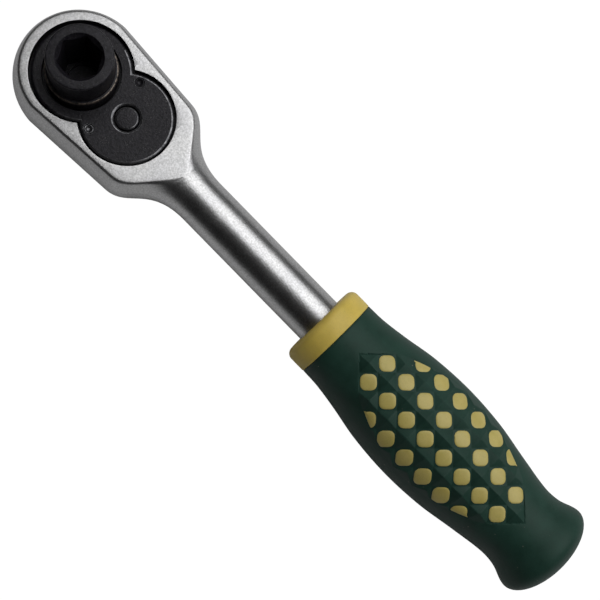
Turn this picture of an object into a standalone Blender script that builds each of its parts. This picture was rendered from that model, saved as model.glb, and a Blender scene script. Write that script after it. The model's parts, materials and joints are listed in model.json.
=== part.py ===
"""Ratchet wrench for hex bits: a forged steel body, a toothed drive with a hex socket, a rocking
pawl set by a thumb lever, and a moulded grip in two materials.

Metres, +Z up. The origin is on the drive axis, where a bit's end rests. +X runs along the handle,
and the hex socket opens to +Z. The thumb lever is on the -Z side.
"""

import math

import bmesh
import bpy
from mathutils import Matrix, Vector

MM = 0.001
DEGREE = math.pi / 180
GAP = 0.3 * MM  # between pieces that touch or bear on each other

# Forged body: a round nose about NOSE_X, sides that taper to the shoulder, then a round shank.
# Its section is round all along, a little squashed at the head, and the two faces are cut off it.
NOSE_X = -0.5 * MM
NOSE_RADIUS = 11.05 * MM
HEAD_HALF_THICKNESS = 5.0 * MM
SECTION_SQUASH = 0.97
SQUASH_END_X = 21.5 * MM
FACE_EDGE = 0.25 * MM
SIDE_TAPER = 3.5 * DEGREE
SHOULDER_X = 15.5 * MM
SHANK_X = 28.0 * MM
SHANK_RADIUS = 4.25 * MM
SHOULDER_FULLNESS = (4.7 * MM, 8.1 * MM)  # lengths of the shoulder curve's handles along X
TANG_END_X = 102.5 * MM

# Figure-eight recess for the cover plate, and the pocket for the gear and the pawl below it
PIVOT_X = 10.42 * MM  # axis of the thumb lever and the pawl
RECESS_DRIVE_RADIUS = 8.58 * MM
RECESS_PIVOT_RADIUS = 7.97 * MM
POCKET_DRIVE_RADIUS = 7.55 * MM
POCKET_PIVOT_RADIUS = 5.4 * MM
POCKET_FLOOR_Z = -3.3 * MM

# Cover plate and its two pins
PLATE_TOP_Z = 4.5 * MM
PLATE_THICKNESS = 1.5 * MM
PLATE_CLEARANCE = 0.35 * MM
PLATE_DRIVE_HOLE = 6.5 * MM
PLATE_PIVOT_HOLE = 2.25 * MM
PIN_X = 7.5 * MM
PIN_Y = 5.65 * MM
PIN_RADIUS = 0.7 * MM
PIN_SHANK_RADIUS = 0.45 * MM
PIN_HOLE_RADIUS = 0.85 * MM
PIN_BORE_RADIUS = 0.65 * MM
PIN_TOP_Z = 4.3 * MM
PIN_DISH = 0.35 * MM
PIN_DISH_RADIUS = 0.6 * MM
PIN_HEAD_EDGE = 0.1 * MM
PIN_END_Z = -1.0 * MM
PIN_POINT = 0.2 * MM

# Drive spindle: rear hub, gear, collar and boss, with the hex socket in the boss
TOOTH_COUNT = 60
GEAR_TIP_RADIUS = 7.2 * MM
GEAR_ROOT_RADIUS = 6.84 * MM
GEAR_LOW_Z = -2.55 * MM
GEAR_HIGH_Z = 2.6 * MM
HUB_RADIUS = 4.7 * MM
HUB_BACK_Z = -4.75 * MM
HUB_EDGE = 0.3 * MM
GEAR_CORE_DEPTH = 0.4 * MM  # how far the turned core stays inside the tooth roots
GEAR_CORE_HALF_HEIGHT = 0.8 * MM
COLLAR_RADIUS = 5.97 * MM
COLLAR_TOP_Z = 6.5 * MM
COLLAR_EDGE = 0.25 * MM
BOSS_RADIUS = 5.4 * MM
BOSS_TOP_Z = 12.7 * MM
BOSS_EDGE = 0.25 * MM
HEX_ACROSS_FLATS = 6.4 * MM
SOCKET_MOUTH_RADIUS = 3.9 * MM
SOCKET_LEAD_IN = 0.9 * MM
MAGNET_RADIUS = 2.5 * MM
MAGNET_THICKNESS = 2.0 * MM
MAGNET_CLEARANCE = 0.2 * MM
SOCKET_FLOOR_Z = -0.3 * MM

# Friction washer under the gear
WASHER_INNER_RADIUS = 5.4 * MM
WASHER_OUTER_RADIUS = 7.0 * MM
WASHER_LOW_Z = -3.1 * MM
WASHER_THICKNESS = 0.3 * MM

# Pawl: two teeth at each end, rocked half of PAWL_SWING to either side of its middle
PAWL_SWING = 8.0 * DEGREE
PAWL_TOOTH_ANGLES = (18.0 * DEGREE, 24.0 * DEGREE)
PAWL_MESH_GAP = 0.11 * MM
PAWL_BORE_RADIUS = 2.1 * MM
PAWL_NOTCH_RADIUS = 2.5 * MM
PAWL_NOTCH_ANGLE = 28.0 * DEGREE
PAWL_BACK_RADIUS = 4.0 * MM
PAWL_FACE_RADIUS = 7.45 * MM
PAWL_FACE_ANGLE = 9.0 * DEGREE  # half of the smooth stretch between the two sets of teeth
PAWL_SHOULDER = (-1.6 * MM, 3.8 * MM)  # the corner behind the teeth, from the pivot
PAWL_BACK_ANGLE = 100.0 * DEGREE
PAWL_LOW_Z = -2.2 * MM
PAWL_HIGH_Z = 2.6 * MM

# Thumb lever, one piece with its shaft, and what sits on or in the shaft
LEVER_SWING = 40.0 * DEGREE
LEVER_SHAFT_RADIUS = 1.85 * MM
LEVER_SHAFT_TOP_Z = 4.55 * MM
LEVER_SHAFT_EDGE = 0.35 * MM
LEVER_HUB_RADIUS = 4.4 * MM
LEVER_HUB_EDGE = 0.5 * MM
LEVER_THICKNESS = 2.3 * MM
LEVER_ARM_LENGTH = 7.6 * MM
LEVER_ARM_ROOT_RADIUS = 3.2 * MM
LEVER_ARM_END_RADIUS = 2.5 * MM
LEVER_ARM_STEP = 0.2 * MM  # how far the arm's back lies in front of the hub's
LEVER_RIDGE_COUNT = 4
LEVER_RIDGE_PITCH = 1.1 * MM
LEVER_RIDGE_WIDTH = 0.45 * MM
LEVER_RIDGE_LENGTH = 3.2 * MM
LEVER_RIDGE_HEIGHT = 0.5 * MM
CLIP_GROOVE_RADIUS = 1.3 * MM
CLIP_INNER_RADIUS = 1.5 * MM
CLIP_OUTER_RADIUS = 2.95 * MM
CLIP_LOW_Z = -2.95 * MM
CLIP_THICKNESS = 0.5 * MM
CLIP_PLAY = 0.1 * MM
CLIP_MOUTH = 50.0 * DEGREE
DETENT_Z = 0.2 * MM
DETENT_HOLE_RADIUS = 0.65 * MM
DETENT_HOLE_DEPTH = 2.85 * MM
BALL_RADIUS = 0.6 * MM
BALL_OFFSET = 1.55 * MM
SPRING_RADIUS = 0.4 * MM
SPRING_WIRE_RADIUS = 0.1 * MM
SPRING_TURNS = 5
SPRING_END_GAP = 0.05 * MM

# Grip: a hard core with a collar and pegs, and a soft sleeve with windows that the pegs fill
COLLAR_FRONT_X = 55.65 * MM
CORE_COLLAR_RADIUS = 7.62 * MM
CORE_COLLAR_EDGE = 1.3 * MM
SLEEVE_FRONT_X = 59.6 * MM
SLEEVE_WALL = 1.5 * MM
GRIP_STATIONS = (  # (distance from the drive axis, radius), joined by a smooth curve
    (SLEEVE_FRONT_X, 7.57 * MM),
    (63.0 * MM, 7.7 * MM),
    (67.5 * MM, 8.32 * MM),
    (73.5 * MM, 9.36 * MM),
    (81.0 * MM, 9.84 * MM),
    (88.5 * MM, 9.44 * MM),
    (95.5 * MM, 8.3 * MM),
    (101.5 * MM, 7.43 * MM),
    (104.5 * MM, 7.62 * MM),
    (108.1 * MM, 8.7 * MM),
)
GRIP_END_X = 112.1 * MM
CORE_END_X = 107.0 * MM
PANEL_ROLL = 3.0 * DEGREE
PANEL_X = 82.65 * MM
PANEL_HALF_LENGTH = 21.25 * MM
PANEL_HALF_WIDTH = 8.6 * MM
DOT_PITCH = 4.2 * MM
DOT_ROW_OFFSET = 2.13 * MM
DOT_SIDE = 2.7 * MM
DOT_CORNER = 0.8 * MM
DOT_REACH = 1.12  # a dot is kept when its centre lies within the panel made this much wider
WINDOW_SIDE = DOT_SIDE + GAP
PEG_LOW_Z = 2.5 * MM
PEG_HIGH_Z = 12.0 * MM

ROUND_SIDES = 48
GRIP_SIDES = 24
OVERLAP = 0.2 * MM  # between shapes that a Boolean joins, and between cutters that meet
REACH = 1.0 * MM  # how far a cutter goes on past the surface it opens


# ---------------------------------------------------------------- scene, materials and helpers


def clear_scene():
    for obj in list(bpy.data.objects):
        bpy.data.objects.remove(obj, do_unlink=True)


def add_collection(name):
    collection = bpy.data.collections.new(name)
    bpy.context.scene.collection.children.link(collection)
    return collection


def add_material(name, colour, roughness, metallic):
    material = bpy.data.materials.new(name)
    material.use_nodes = True
    shader = material.node_tree.nodes["Principled BSDF"]
    shader.inputs["Base Color"].default_value = (*colour, 1.0)
    shader.inputs["Roughness"].default_value = roughness
    shader.inputs["Metallic"].default_value = metallic
    material.diffuse_color = (*colour, 1.0)
    return material


def add_axis(name, location, turn):
    """An empty on a joint's axis, turned to the rest position."""
    axis = bpy.data.objects.new(name, None)
    axis.location = location
    axis.rotation_euler = (0.0, 0.0, turn)
    PARTS.objects.link(axis)
    return axis


def add_mesh(name, shape):
    """The finished bmesh as a new object that isn't in a collection yet."""
    bmesh.ops.recalc_face_normals(shape, faces=shape.faces)
    mesh = bpy.data.meshes.new(name)
    shape.to_mesh(mesh)
    shape.free()
    return bpy.data.objects.new(name, mesh)


def as_part(obj, material, parent=None):
    PARTS.objects.link(obj)
    obj.data.materials.append(material)
    obj.data.shade_smooth()
    obj.data.set_sharp_from_angle(angle=35 * DEGREE)
    obj.parent = parent
    return obj


def as_cutter(obj, parent=None):
    CUTTERS.objects.link(obj)
    obj.hide_render = True
    obj.display_type = "WIRE"
    obj.parent = parent
    return obj


def combine(obj, other, operation):
    modifier = obj.modifiers.new(operation.lower() + "_" + other.name, "BOOLEAN")
    modifier.operation = operation
    modifier.object = other
    modifier.solver = "EXACT"


def arc(centre_x, radius, start, end, count):
    """Points along a circle about (centre_x, 0), from one angle to another, both included."""
    steps = [start + (end - start) * i / (count - 1) for i in range(count)]
    return [Vector((centre_x + radius * math.cos(a), radius * math.sin(a))) for a in steps]


def circle(centre_x, centre_y, radius, sides):
    turns = [2 * math.pi * i / sides for i in range(sides)]
    return [
        Vector((centre_x + radius * math.cos(a), centre_y + radius * math.sin(a))) for a in turns
    ]


def cylinder(name, radius, low, high, x=0.0, y=0.0, sides=ROUND_SIDES, top_radius=None):
    """A closed cylinder, or a cone where top_radius is given, along Z at (x, y)."""
    shape = bmesh.new()
    bmesh.ops.create_cone(
        shape,
        cap_ends=True,
        segments=sides,
        radius1=radius,
        radius2=radius if top_radius is None else top_radius,
        depth=high - low,
        matrix=Matrix.Translation((x, y, (low + high) / 2)),
    )
    return add_mesh(name, shape)


def turned(name, profile, sides=ROUND_SIDES):
    """A profile of (radius, height) points, outer side first from top to bottom, turned about Z."""
    mesh = bpy.data.meshes.new(name)
    edges = [(i, i + 1) for i in range(len(profile) - 1)]
    mesh.from_pydata([(radius, 0.0, height) for radius, height in profile], edges, [])
    obj = bpy.data.objects.new(name, mesh)
    screw = obj.modifiers.new("turn", "SCREW")
    screw.steps = sides
    screw.render_steps = sides
    screw.use_merge_vertices = True
    screw.merge_threshold = 0.00001
    return obj


def turned_ring(name, profile, sides=ROUND_SIDES):
    """A profile whose last point joins its first, turned about Z."""
    return turned(name, [*profile, profile[0]], sides)


def lay_along_x(obj):
    """Turns a shape made along +Z so that it runs along +X."""
    obj.rotation_euler = (0.0, 90 * DEGREE, 0.0)
    return obj


def extruded(name, loops, low, high):
    """Closed flat loops, the inner ones holes, made solid between two heights."""
    curve = bpy.data.curves.new(name + "_outline", "CURVE")
    curve.dimensions = "2D"
    curve.fill_mode = "BOTH"
    curve.extrude = (high - low) / 2
    for loop in loops:
        spline = curve.splines.new("POLY")
        spline.points.add(len(loop) - 1)
        for point, place in zip(spline.points, loop):
            point.co = (place.x, place.y, 0.0, 1.0)
        spline.use_cyclic_u = True
    flat = bpy.data.objects.new(name + "_outline", curve)
    bpy.context.scene.collection.objects.link(flat)
    bpy.context.view_layer.update()
    mesh = bpy.data.meshes.new_from_object(flat.evaluated_get(bpy.context.evaluated_depsgraph_get()))
    bpy.data.objects.remove(flat, do_unlink=True)
    shape = bmesh.new()
    shape.from_mesh(mesh)
    bpy.data.meshes.remove(mesh)
    bmesh.ops.translate(shape, verts=shape.verts, vec=(0.0, 0.0, (low + high) / 2))
    bmesh.ops.remove_doubles(shape, verts=shape.verts, dist=0.000001)
    return add_mesh(name, shape)


def two_lobes(drive_radius, pivot_radius, count=24):
    """The outline of two overlapping circles, one about the drive axis and one about the pivot."""
    drive = (PIVOT_X**2 + drive_radius**2 - pivot_radius**2) / (2 * PIVOT_X * drive_radius)
    pivot = (PIVOT_X**2 + pivot_radius**2 - drive_radius**2) / (2 * PIVOT_X * pivot_radius)
    drive_angle = math.acos(drive)
    pivot_angle = math.acos(pivot)
    front = arc(0.0, drive_radius, drive_angle, 2 * math.pi - drive_angle, count)
    back = arc(PIVOT_X, pivot_radius, pivot_angle - math.pi, math.pi - pivot_angle, count)
    return front[:-1] + back[:-1]


def bezier(points, t):
    a, b, c, d = points
    s = 1 - t
    return a * s**3 + b * (3 * s * s * t) + c * (3 * s * t * t) + d * t**3


# ---------------------------------------------------------------------------- forged body


def body_stations():
    """(outline point at mid height, direction into the body, radius of the section) for the +Y
    side of the body, from the nose's tip to the end of the tang."""
    stations = []
    nose_steps = 12
    for i in range(nose_steps + 1):
        angle = (90 * DEGREE - SIDE_TAPER) * i / nose_steps
        inward = Vector((math.cos(angle), -math.sin(angle)))
        stations.append((Vector((NOSE_X, 0.0)) - NOSE_RADIUS * inward, inward, NOSE_RADIUS))
    tangent, inward, _ = stations[-1]
    shoulder_y = tangent.y - (SHOULDER_X - tangent.x) * math.tan(SIDE_TAPER)
    outline = (
        Vector((SHOULDER_X, shoulder_y)),
        Vector((SHOULDER_X + SHOULDER_FULLNESS[0], shoulder_y - 0.3 * MM)),
        Vector((SHANK_X - SHOULDER_FULLNESS[1], SHANK_RADIUS + 0.1 * MM)),
        Vector((SHANK_X, SHANK_RADIUS)),
    )
    middle = (tangent + outline[0]) / 2
    stations.append((middle, inward, middle.y))
    shoulder_steps = 16
    for i in range(shoulder_steps + 1):
        t = i / shoulder_steps
        point = bezier(outline, t)
        sideways = inward.lerp(Vector((0.0, -1.0)), min(1.0, 4 * t)).normalized()
        stations.append((point, sideways, point.y))
    stations.append((Vector((TANG_END_X, SHANK_RADIUS)), Vector((0.0, -1.0)), SHANK_RADIUS))
    return stations


def body_column(station, side, steps=5):
    """Points down one side of the body: from the top face's edge, along the round section's arc,
    to the bottom face's edge. Where the section is lower than the faces, the arc is a half circle."""
    point, inward, radius = station
    blend = min(1.0, max(0.0, (point.x - SHOULDER_X) / (SQUASH_END_X - SHOULDER_X)))
    height = radius * (SECTION_SQUASH + (1 - SECTION_SQUASH) * blend)
    top = min(HEAD_HALF_THICKNESS, height)
    edge_angle = math.asin(top / height)
    edge_inset = radius * (1 - math.cos(edge_angle))
    edge = min(FACE_EDGE, radius - edge_inset)
    arc_angle = math.asin((top - edge / 2) / height)
    half = [(edge_inset + edge, top)]
    for i in range(steps + 1):
        angle = arc_angle * (1 - i / steps)
        half.append((radius * (1 - math.cos(angle)), height * math.sin(angle)))
    column = []
    for inset, z in half + [(inset, -z) for inset, z in reversed(half[:-1])]:
        place = point + inward * inset
        column.append(Vector((place.x, side * max(place.y, 0.0), z)))
    return column


def body_blank():
    """The body before machining: its sides lofted through the stations, closed at top and bottom."""
    shape = bmesh.new()
    rings = []
    for index, station in enumerate(body_stations()):
        left = [shape.verts.new(point) for point in body_column(station, 1)]
        right = left
        if index:
            right = [shape.verts.new(point) for point in body_column(station, -1)]
        rings.append((left, right))
    for (left, right), (next_left, next_right) in zip(rings, rings[1:]):
        loop = left + right[::-1]
        next_loop = next_left + next_right[::-1]
        for i in range(len(loop)):
            j = (i + 1) % len(loop)
            corners = [loop[i], loop[j], next_loop[j], next_loop[i]]
            corners = [v for k, v in enumerate(corners) if v not in corners[:k]]
            shape.faces.new(corners)
    last_left, last_right = rings[-1]
    shape.faces.new(last_left + last_right[::-1])
    bmesh.ops.remove_doubles(shape, verts=shape.verts, dist=0.000001)
    bmesh.ops.dissolve_degenerate(shape, edges=shape.edges, dist=0.000001)
    return add_mesh("forged_body", shape)


def add_forged_body(steel):
    body = as_part(body_blank(), steel)
    above = HEAD_HALF_THICKNESS + REACH
    below = -HEAD_HALF_THICKNESS - REACH
    ledge = PLATE_TOP_Z - PLATE_THICKNESS - GAP
    pin_low = PIN_END_Z - GAP
    pin_high = ledge + OVERLAP
    cutters = (
        extruded("plate_recess", [two_lobes(RECESS_DRIVE_RADIUS, RECESS_PIVOT_RADIUS)], ledge, above),
        extruded(
            "gear_pocket",
            [two_lobes(POCKET_DRIVE_RADIUS, POCKET_PIVOT_RADIUS)],
            POCKET_FLOOR_Z,
            ledge + OVERLAP,
        ),
        cylinder("hub_bore", HUB_RADIUS + GAP, below, POCKET_FLOOR_Z + OVERLAP),
        cylinder(
            "lever_bore", LEVER_SHAFT_RADIUS + GAP, below, POCKET_FLOOR_Z + OVERLAP, PIVOT_X, sides=32
        ),
        cylinder("pin_bore_left", PIN_BORE_RADIUS, pin_low, pin_high, PIN_X, PIN_Y, 16),
        cylinder("pin_bore_right", PIN_BORE_RADIUS, pin_low, pin_high, PIN_X, -PIN_Y, 16),
    )
    for cutter in cutters:
        combine(body, as_cutter(cutter), "DIFFERENCE")


# ------------------------------------------------------------------- cover plate and pins


def add_cover_plate(black_steel):
    outline = two_lobes(RECESS_DRIVE_RADIUS - PLATE_CLEARANCE, RECESS_PIVOT_RADIUS - PLATE_CLEARANCE)
    holes = [
        circle(0.0, 0.0, PLATE_DRIVE_HOLE, ROUND_SIDES),
        circle(PIVOT_X, 0.0, PLATE_PIVOT_HOLE, 32),
        circle(PIN_X, PIN_Y, PIN_HOLE_RADIUS, 16),
        circle(PIN_X, -PIN_Y, PIN_HOLE_RADIUS, 16),
    ]
    low = PLATE_TOP_Z - PLATE_THICKNESS
    as_part(extruded("cover_plate", [outline, *holes], low, PLATE_TOP_Z), black_steel)


def add_cover_pin(name, y, black_steel):
    """A headed pin with a dished end, sunk in the plate and pressed into the body."""
    shoulder = PLATE_TOP_Z - PLATE_THICKNESS
    profile = [
        (0.0, PIN_TOP_Z - PIN_DISH),
        (PIN_DISH_RADIUS / 2, PIN_TOP_Z - PIN_DISH * 3 / 4),
        (PIN_DISH_RADIUS, PIN_TOP_Z),
        (PIN_RADIUS, PIN_TOP_Z - PIN_HEAD_EDGE),
        (PIN_RADIUS, shoulder),
        (PIN_SHANK_RADIUS, shoulder - PIN_HEAD_EDGE),
        (PIN_SHANK_RADIUS, PIN_END_Z + PIN_POINT),
        (PIN_SHANK_RADIUS - PIN_POINT, PIN_END_Z),
        (0.0, PIN_END_Z),
    ]
    pin = as_part(turned(name, profile, 16), black_steel)
    pin.location = (PIN_X, y, 0.0)


# ------------------------------------------------------------------------- drive spindle


def gear_outline():
    """Pointed teeth with a gap centred on the X axis."""
    pitch = 2 * math.pi / TOOTH_COUNT
    points = []
    for i in range(TOOTH_COUNT):
        for radius, turn in ((GEAR_ROOT_RADIUS, i * pitch), (GEAR_TIP_RADIUS, (i + 0.5) * pitch)):
            points.append(Vector((radius * math.cos(turn), radius * math.sin(turn))))
    return points


def add_drive_spindle(black_steel):
    middle = (GEAR_LOW_Z + GEAR_HIGH_Z) / 2
    core_radius = GEAR_ROOT_RADIUS - GEAR_CORE_DEPTH
    core_high = middle + GEAR_CORE_HALF_HEIGHT
    core_low = middle - GEAR_CORE_HALF_HEIGHT
    profile = [
        (0.0, BOSS_TOP_Z),
        (BOSS_RADIUS - BOSS_EDGE, BOSS_TOP_Z),
        (BOSS_RADIUS - BOSS_EDGE / 3, BOSS_TOP_Z - BOSS_EDGE / 3),
        (BOSS_RADIUS, BOSS_TOP_Z - BOSS_EDGE),
        (BOSS_RADIUS, COLLAR_TOP_Z),
        (COLLAR_RADIUS - COLLAR_EDGE, COLLAR_TOP_Z),
        (COLLAR_RADIUS, COLLAR_TOP_Z - COLLAR_EDGE),
        (COLLAR_RADIUS, core_high + OVERLAP),
        (core_radius, core_high),
        (core_radius, core_low),
        (HUB_RADIUS, core_low - OVERLAP),
        (HUB_RADIUS, HUB_BACK_Z + HUB_EDGE),
        (HUB_RADIUS - HUB_EDGE, HUB_BACK_Z),
        (0.0, HUB_BACK_Z),
    ]
    spindle = as_part(turned("drive_spindle", profile), black_steel)
    gear = as_cutter(extruded("gear_teeth", [gear_outline()], GEAR_LOW_Z, GEAR_HIGH_Z))
    combine(spindle, gear, "UNION")
    above = BOSS_TOP_Z + REACH
    hex_corner = HEX_ACROSS_FLATS / math.sqrt(3)
    slope = (SOCKET_MOUTH_RADIUS - HEX_ACROSS_FLATS / 2) / SOCKET_LEAD_IN
    cutters = (
        cylinder("hex_socket", hex_corner, SOCKET_FLOOR_Z, above, sides=6),
        cylinder(
            "socket_lead_in",
            HEX_ACROSS_FLATS / 2,
            BOSS_TOP_Z - SOCKET_LEAD_IN,
            above,
            top_radius=SOCKET_MOUTH_RADIUS + slope * (above - BOSS_TOP_Z),
        ),
        cylinder(
            "magnet_bore",
            MAGNET_RADIUS + MAGNET_CLEARANCE,
            -MAGNET_THICKNESS - GAP,
            SOCKET_FLOOR_Z + OVERLAP,
            sides=32,
        ),
    )
    for cutter in cutters:
        combine(spindle, as_cutter(cutter), "DIFFERENCE")


def add_bit_magnet(bright_steel):
    """Set in the socket's floor. Its outer face is at Z = 0, where a bit's end rests."""
    as_part(cylinder("bit_magnet", MAGNET_RADIUS, -MAGNET_THICKNESS, 0.0, sides=32), bright_steel)


def add_friction_washer(bright_steel):
    top = WASHER_LOW_Z + WASHER_THICKNESS
    profile = [
        (WASHER_INNER_RADIUS, top),
        (WASHER_OUTER_RADIUS, top),
        (WASHER_OUTER_RADIUS, WASHER_LOW_Z),
        (WASHER_INNER_RADIUS, WASHER_LOW_Z),
    ]
    as_part(turned_ring("friction_washer", profile, 32), bright_steel)


# ------------------------------------------------------------------------ pawl


def pawl_end():
    """The +Y end of the pawl's toothed face, about the pivot and with the pawl in its middle
    position. It is drawn in mesh with the gear, then turned back by half of the swing."""
    pitch = 2 * math.pi / TOOTH_COUNT
    point_radius = GEAR_ROOT_RADIUS + PAWL_MESH_GAP
    valley_radius = GEAR_TIP_RADIUS + PAWL_MESH_GAP
    polar = [(PAWL_FACE_RADIUS, PAWL_FACE_ANGLE), (valley_radius, PAWL_TOOTH_ANGLES[0] - pitch / 2)]
    for angle in PAWL_TOOTH_ANGLES:
        polar.append((point_radius, angle))
        polar.append((valley_radius, angle + pitch / 2))
    drawn = [
        Vector((radius * math.cos(angle) - PIVOT_X, radius * math.sin(angle)))
        for radius, angle in polar
    ]
    back = Matrix.Rotation(-PAWL_SWING / 2, 2)
    return [back @ point for point in drawn]


def pawl_outline():
    upper = pawl_end()
    lower = [Vector((point.x, -point.y)) for point in reversed(upper)]
    shoulder = Vector(PAWL_SHOULDER)
    back = arc(0.0, PAWL_BACK_RADIUS, PAWL_BACK_ANGLE, -PAWL_BACK_ANGLE, 21)
    face_middle = Vector((PAWL_FACE_RADIUS - PIVOT_X, 0.0))
    return [
        face_middle,
        *upper,
        shoulder,
        *back,
        Vector((shoulder.x, -shoulder.y)),
        *lower,
    ]


def pawl_bore():
    """A round hole, wider on the gear's side where the ball reaches out of the shaft."""
    hole = arc(0.0, PAWL_BORE_RADIUS, PAWL_NOTCH_ANGLE - math.pi, math.pi - PAWL_NOTCH_ANGLE, 25)
    notch = arc(0.0, PAWL_NOTCH_RADIUS, math.pi - PAWL_NOTCH_ANGLE, math.pi + PAWL_NOTCH_ANGLE, 7)
    return hole + notch


def add_pawl(axis, bright_steel):
    pawl = extruded("pawl", [pawl_outline(), pawl_bore()], PAWL_LOW_Z, PAWL_HIGH_Z)
    as_part(pawl, bright_steel, axis)


# ----------------------------------------------------- thumb lever, clip, spring and ball


def lever_arm_outline():
    """Straight sides from the hub to a round end, along +X."""
    slope = math.asin((LEVER_ARM_ROOT_RADIUS - LEVER_ARM_END_RADIUS) / LEVER_ARM_LENGTH)
    edge = 90 * DEGREE - slope
    end = arc(LEVER_ARM_LENGTH, LEVER_ARM_END_RADIUS, -edge, edge, 15)
    return [*end, Vector((0.0, LEVER_ARM_ROOT_RADIUS)), Vector((0.0, -LEVER_ARM_ROOT_RADIUS))]


def lever_ridge(index, back):
    """A low bar across the arm's end for the thumb."""
    shape = bmesh.new()
    bmesh.ops.create_cube(shape, size=1.0)
    size = (LEVER_RIDGE_WIDTH, LEVER_RIDGE_LENGTH, 2 * LEVER_RIDGE_HEIGHT)
    bmesh.ops.scale(shape, verts=shape.verts, vec=size)
    x = LEVER_ARM_LENGTH + (index - (LEVER_RIDGE_COUNT - 1) / 2) * LEVER_RIDGE_PITCH
    bmesh.ops.translate(shape, verts=shape.verts, vec=(x, 0.0, back))
    return add_mesh(f"lever_ridge_{index + 1}", shape)


def add_reversing_lever(axis, black_steel):
    front = -HEAD_HALF_THICKNESS - GAP
    back = front - LEVER_THICKNESS
    arm_back = back + LEVER_ARM_STEP
    clip_low = CLIP_LOW_Z - CLIP_PLAY
    clip_high = CLIP_LOW_Z + CLIP_THICKNESS + CLIP_PLAY
    profile = [
        (0.0, LEVER_SHAFT_TOP_Z),
        (LEVER_SHAFT_RADIUS - LEVER_SHAFT_EDGE, LEVER_SHAFT_TOP_Z),
        (LEVER_SHAFT_RADIUS, LEVER_SHAFT_TOP_Z - LEVER_SHAFT_EDGE),
        (LEVER_SHAFT_RADIUS, clip_high),
        (CLIP_GROOVE_RADIUS, clip_high),
        (CLIP_GROOVE_RADIUS, clip_low),
        (LEVER_SHAFT_RADIUS, clip_low),
        (LEVER_SHAFT_RADIUS, front),
        (LEVER_HUB_RADIUS, front),
        (LEVER_HUB_RADIUS, back + LEVER_HUB_EDGE),
        (LEVER_HUB_RADIUS - LEVER_HUB_EDGE, back),
        (0.0, back),
    ]
    lever = as_part(turned("reversing_lever", profile, 32), black_steel, axis)
    arm = extruded("lever_arm", [lever_arm_outline()], arm_back, front - LEVER_ARM_STEP / 2)
    combine(lever, as_cutter(arm, axis), "UNION")
    for index in range(LEVER_RIDGE_COUNT):
        combine(lever, as_cutter(lever_ridge(index, arm_back), axis), "UNION")
    hole = cylinder("detent_hole", DETENT_HOLE_RADIUS, 0.0, DETENT_HOLE_DEPTH + REACH, sides=16)
    hole.rotation_euler = (0.0, -90 * DEGREE, 0.0)
    hole.location = (DETENT_HOLE_DEPTH - LEVER_SHAFT_RADIUS, 0.0, DETENT_Z)
    combine(lever, as_cutter(hole, axis), "DIFFERENCE")


def add_retaining_clip(axis, bright_steel):
    """An open ring pushed on to the shaft's groove from the side, above the head's back wall."""
    outer = arc(0.0, CLIP_OUTER_RADIUS, CLIP_MOUTH, 2 * math.pi - CLIP_MOUTH, 25)
    inner = arc(0.0, CLIP_INNER_RADIUS, 2 * math.pi - CLIP_MOUTH, CLIP_MOUTH, 21)
    clip = extruded("retaining_clip", [outer + inner], CLIP_LOW_Z, CLIP_LOW_Z + CLIP_THICKNESS)
    as_part(clip, bright_steel, axis)


def add_detent_ball(axis, bright_steel):
    shape = bmesh.new()
    bmesh.ops.create_uvsphere(shape, u_segments=14, v_segments=9, radius=BALL_RADIUS)
    ball = as_part(add_mesh("detent_ball", shape), bright_steel, axis)
    ball.location = (-BALL_OFFSET, 0.0, DETENT_Z)


def add_detent_spring(axis, bright_steel):
    """A coil along the hole in the shaft, from its bottom to just short of the ball."""
    curve = bpy.data.curves.new("detent_spring", "CURVE")
    curve.dimensions = "3D"
    curve.bevel_depth = SPRING_WIRE_RADIUS
    curve.bevel_resolution = 1
    curve.use_fill_caps = True
    start = DETENT_HOLE_DEPTH - LEVER_SHAFT_RADIUS - SPRING_WIRE_RADIUS - SPRING_END_GAP
    end = BALL_RADIUS - BALL_OFFSET + SPRING_WIRE_RADIUS + SPRING_END_GAP
    per_turn = 8
    count = SPRING_TURNS * per_turn + 1
    spline = curve.splines.new("POLY")
    spline.points.add(count - 1)
    for i, point in enumerate(spline.points):
        turn = 2 * math.pi * i / per_turn
        x = start + (end - start) * i / (count - 1)
        point.co = (x, SPRING_RADIUS * math.cos(turn), SPRING_RADIUS * math.sin(turn), 1.0)
    spring = bpy.data.objects.new("detent_spring", curve)
    PARTS.objects.link(spring)
    curve.materials.append(bright_steel)
    spring.parent = axis
    spring.location = (0.0, 0.0, DETENT_Z)


# --------------------------------------------------------------------------- grip


def grip_radius(x):
    """The sleeve's radius at a distance along the handle: a smooth curve through the stations,
    then a round end."""
    last_x, last_radius = GRIP_STATIONS[-1]
    if x >= last_x:
        share = min(1.0, (x - last_x) / (GRIP_END_X - last_x))
        return last_radius * math.sqrt(1 - share * share)
    x = max(x, SLEEVE_FRONT_X)
    index = max(i for i, (station, _) in enumerate(GRIP_STATIONS[:-1]) if station <= x)
    x0, y0 = GRIP_STATIONS[max(index - 1, 0)]
    x1, y1 = GRIP_STATIONS[index]
    x2, y2 = GRIP_STATIONS[index + 1]
    x3, y3 = GRIP_STATIONS[min(index + 2, len(GRIP_STATIONS) - 1)]
    slope1 = (y2 - y0) / (x2 - x0)
    slope2 = (y3 - y1) / (x3 - x1) if index + 2 < len(GRIP_STATIONS) else 0.0
    t = (x - x1) / (x2 - x1)
    width = x2 - x1
    ease = t * t * (3 - 2 * t)
    start = t * (1 - t) ** 2 * width * slope1
    end = -t * t * (1 - t) * width * slope2
    return y1 + (y2 - y1) * ease + start + end


def grip_profile(first_x, last_x, count, inset=0.0):
    """(radius, distance) points from the far end of the grip to the near one."""
    places = [last_x + (first_x - last_x) * i / (count - 1) for i in range(count)]
    return [(grip_radius(x) - inset, x) for x in places]


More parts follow.
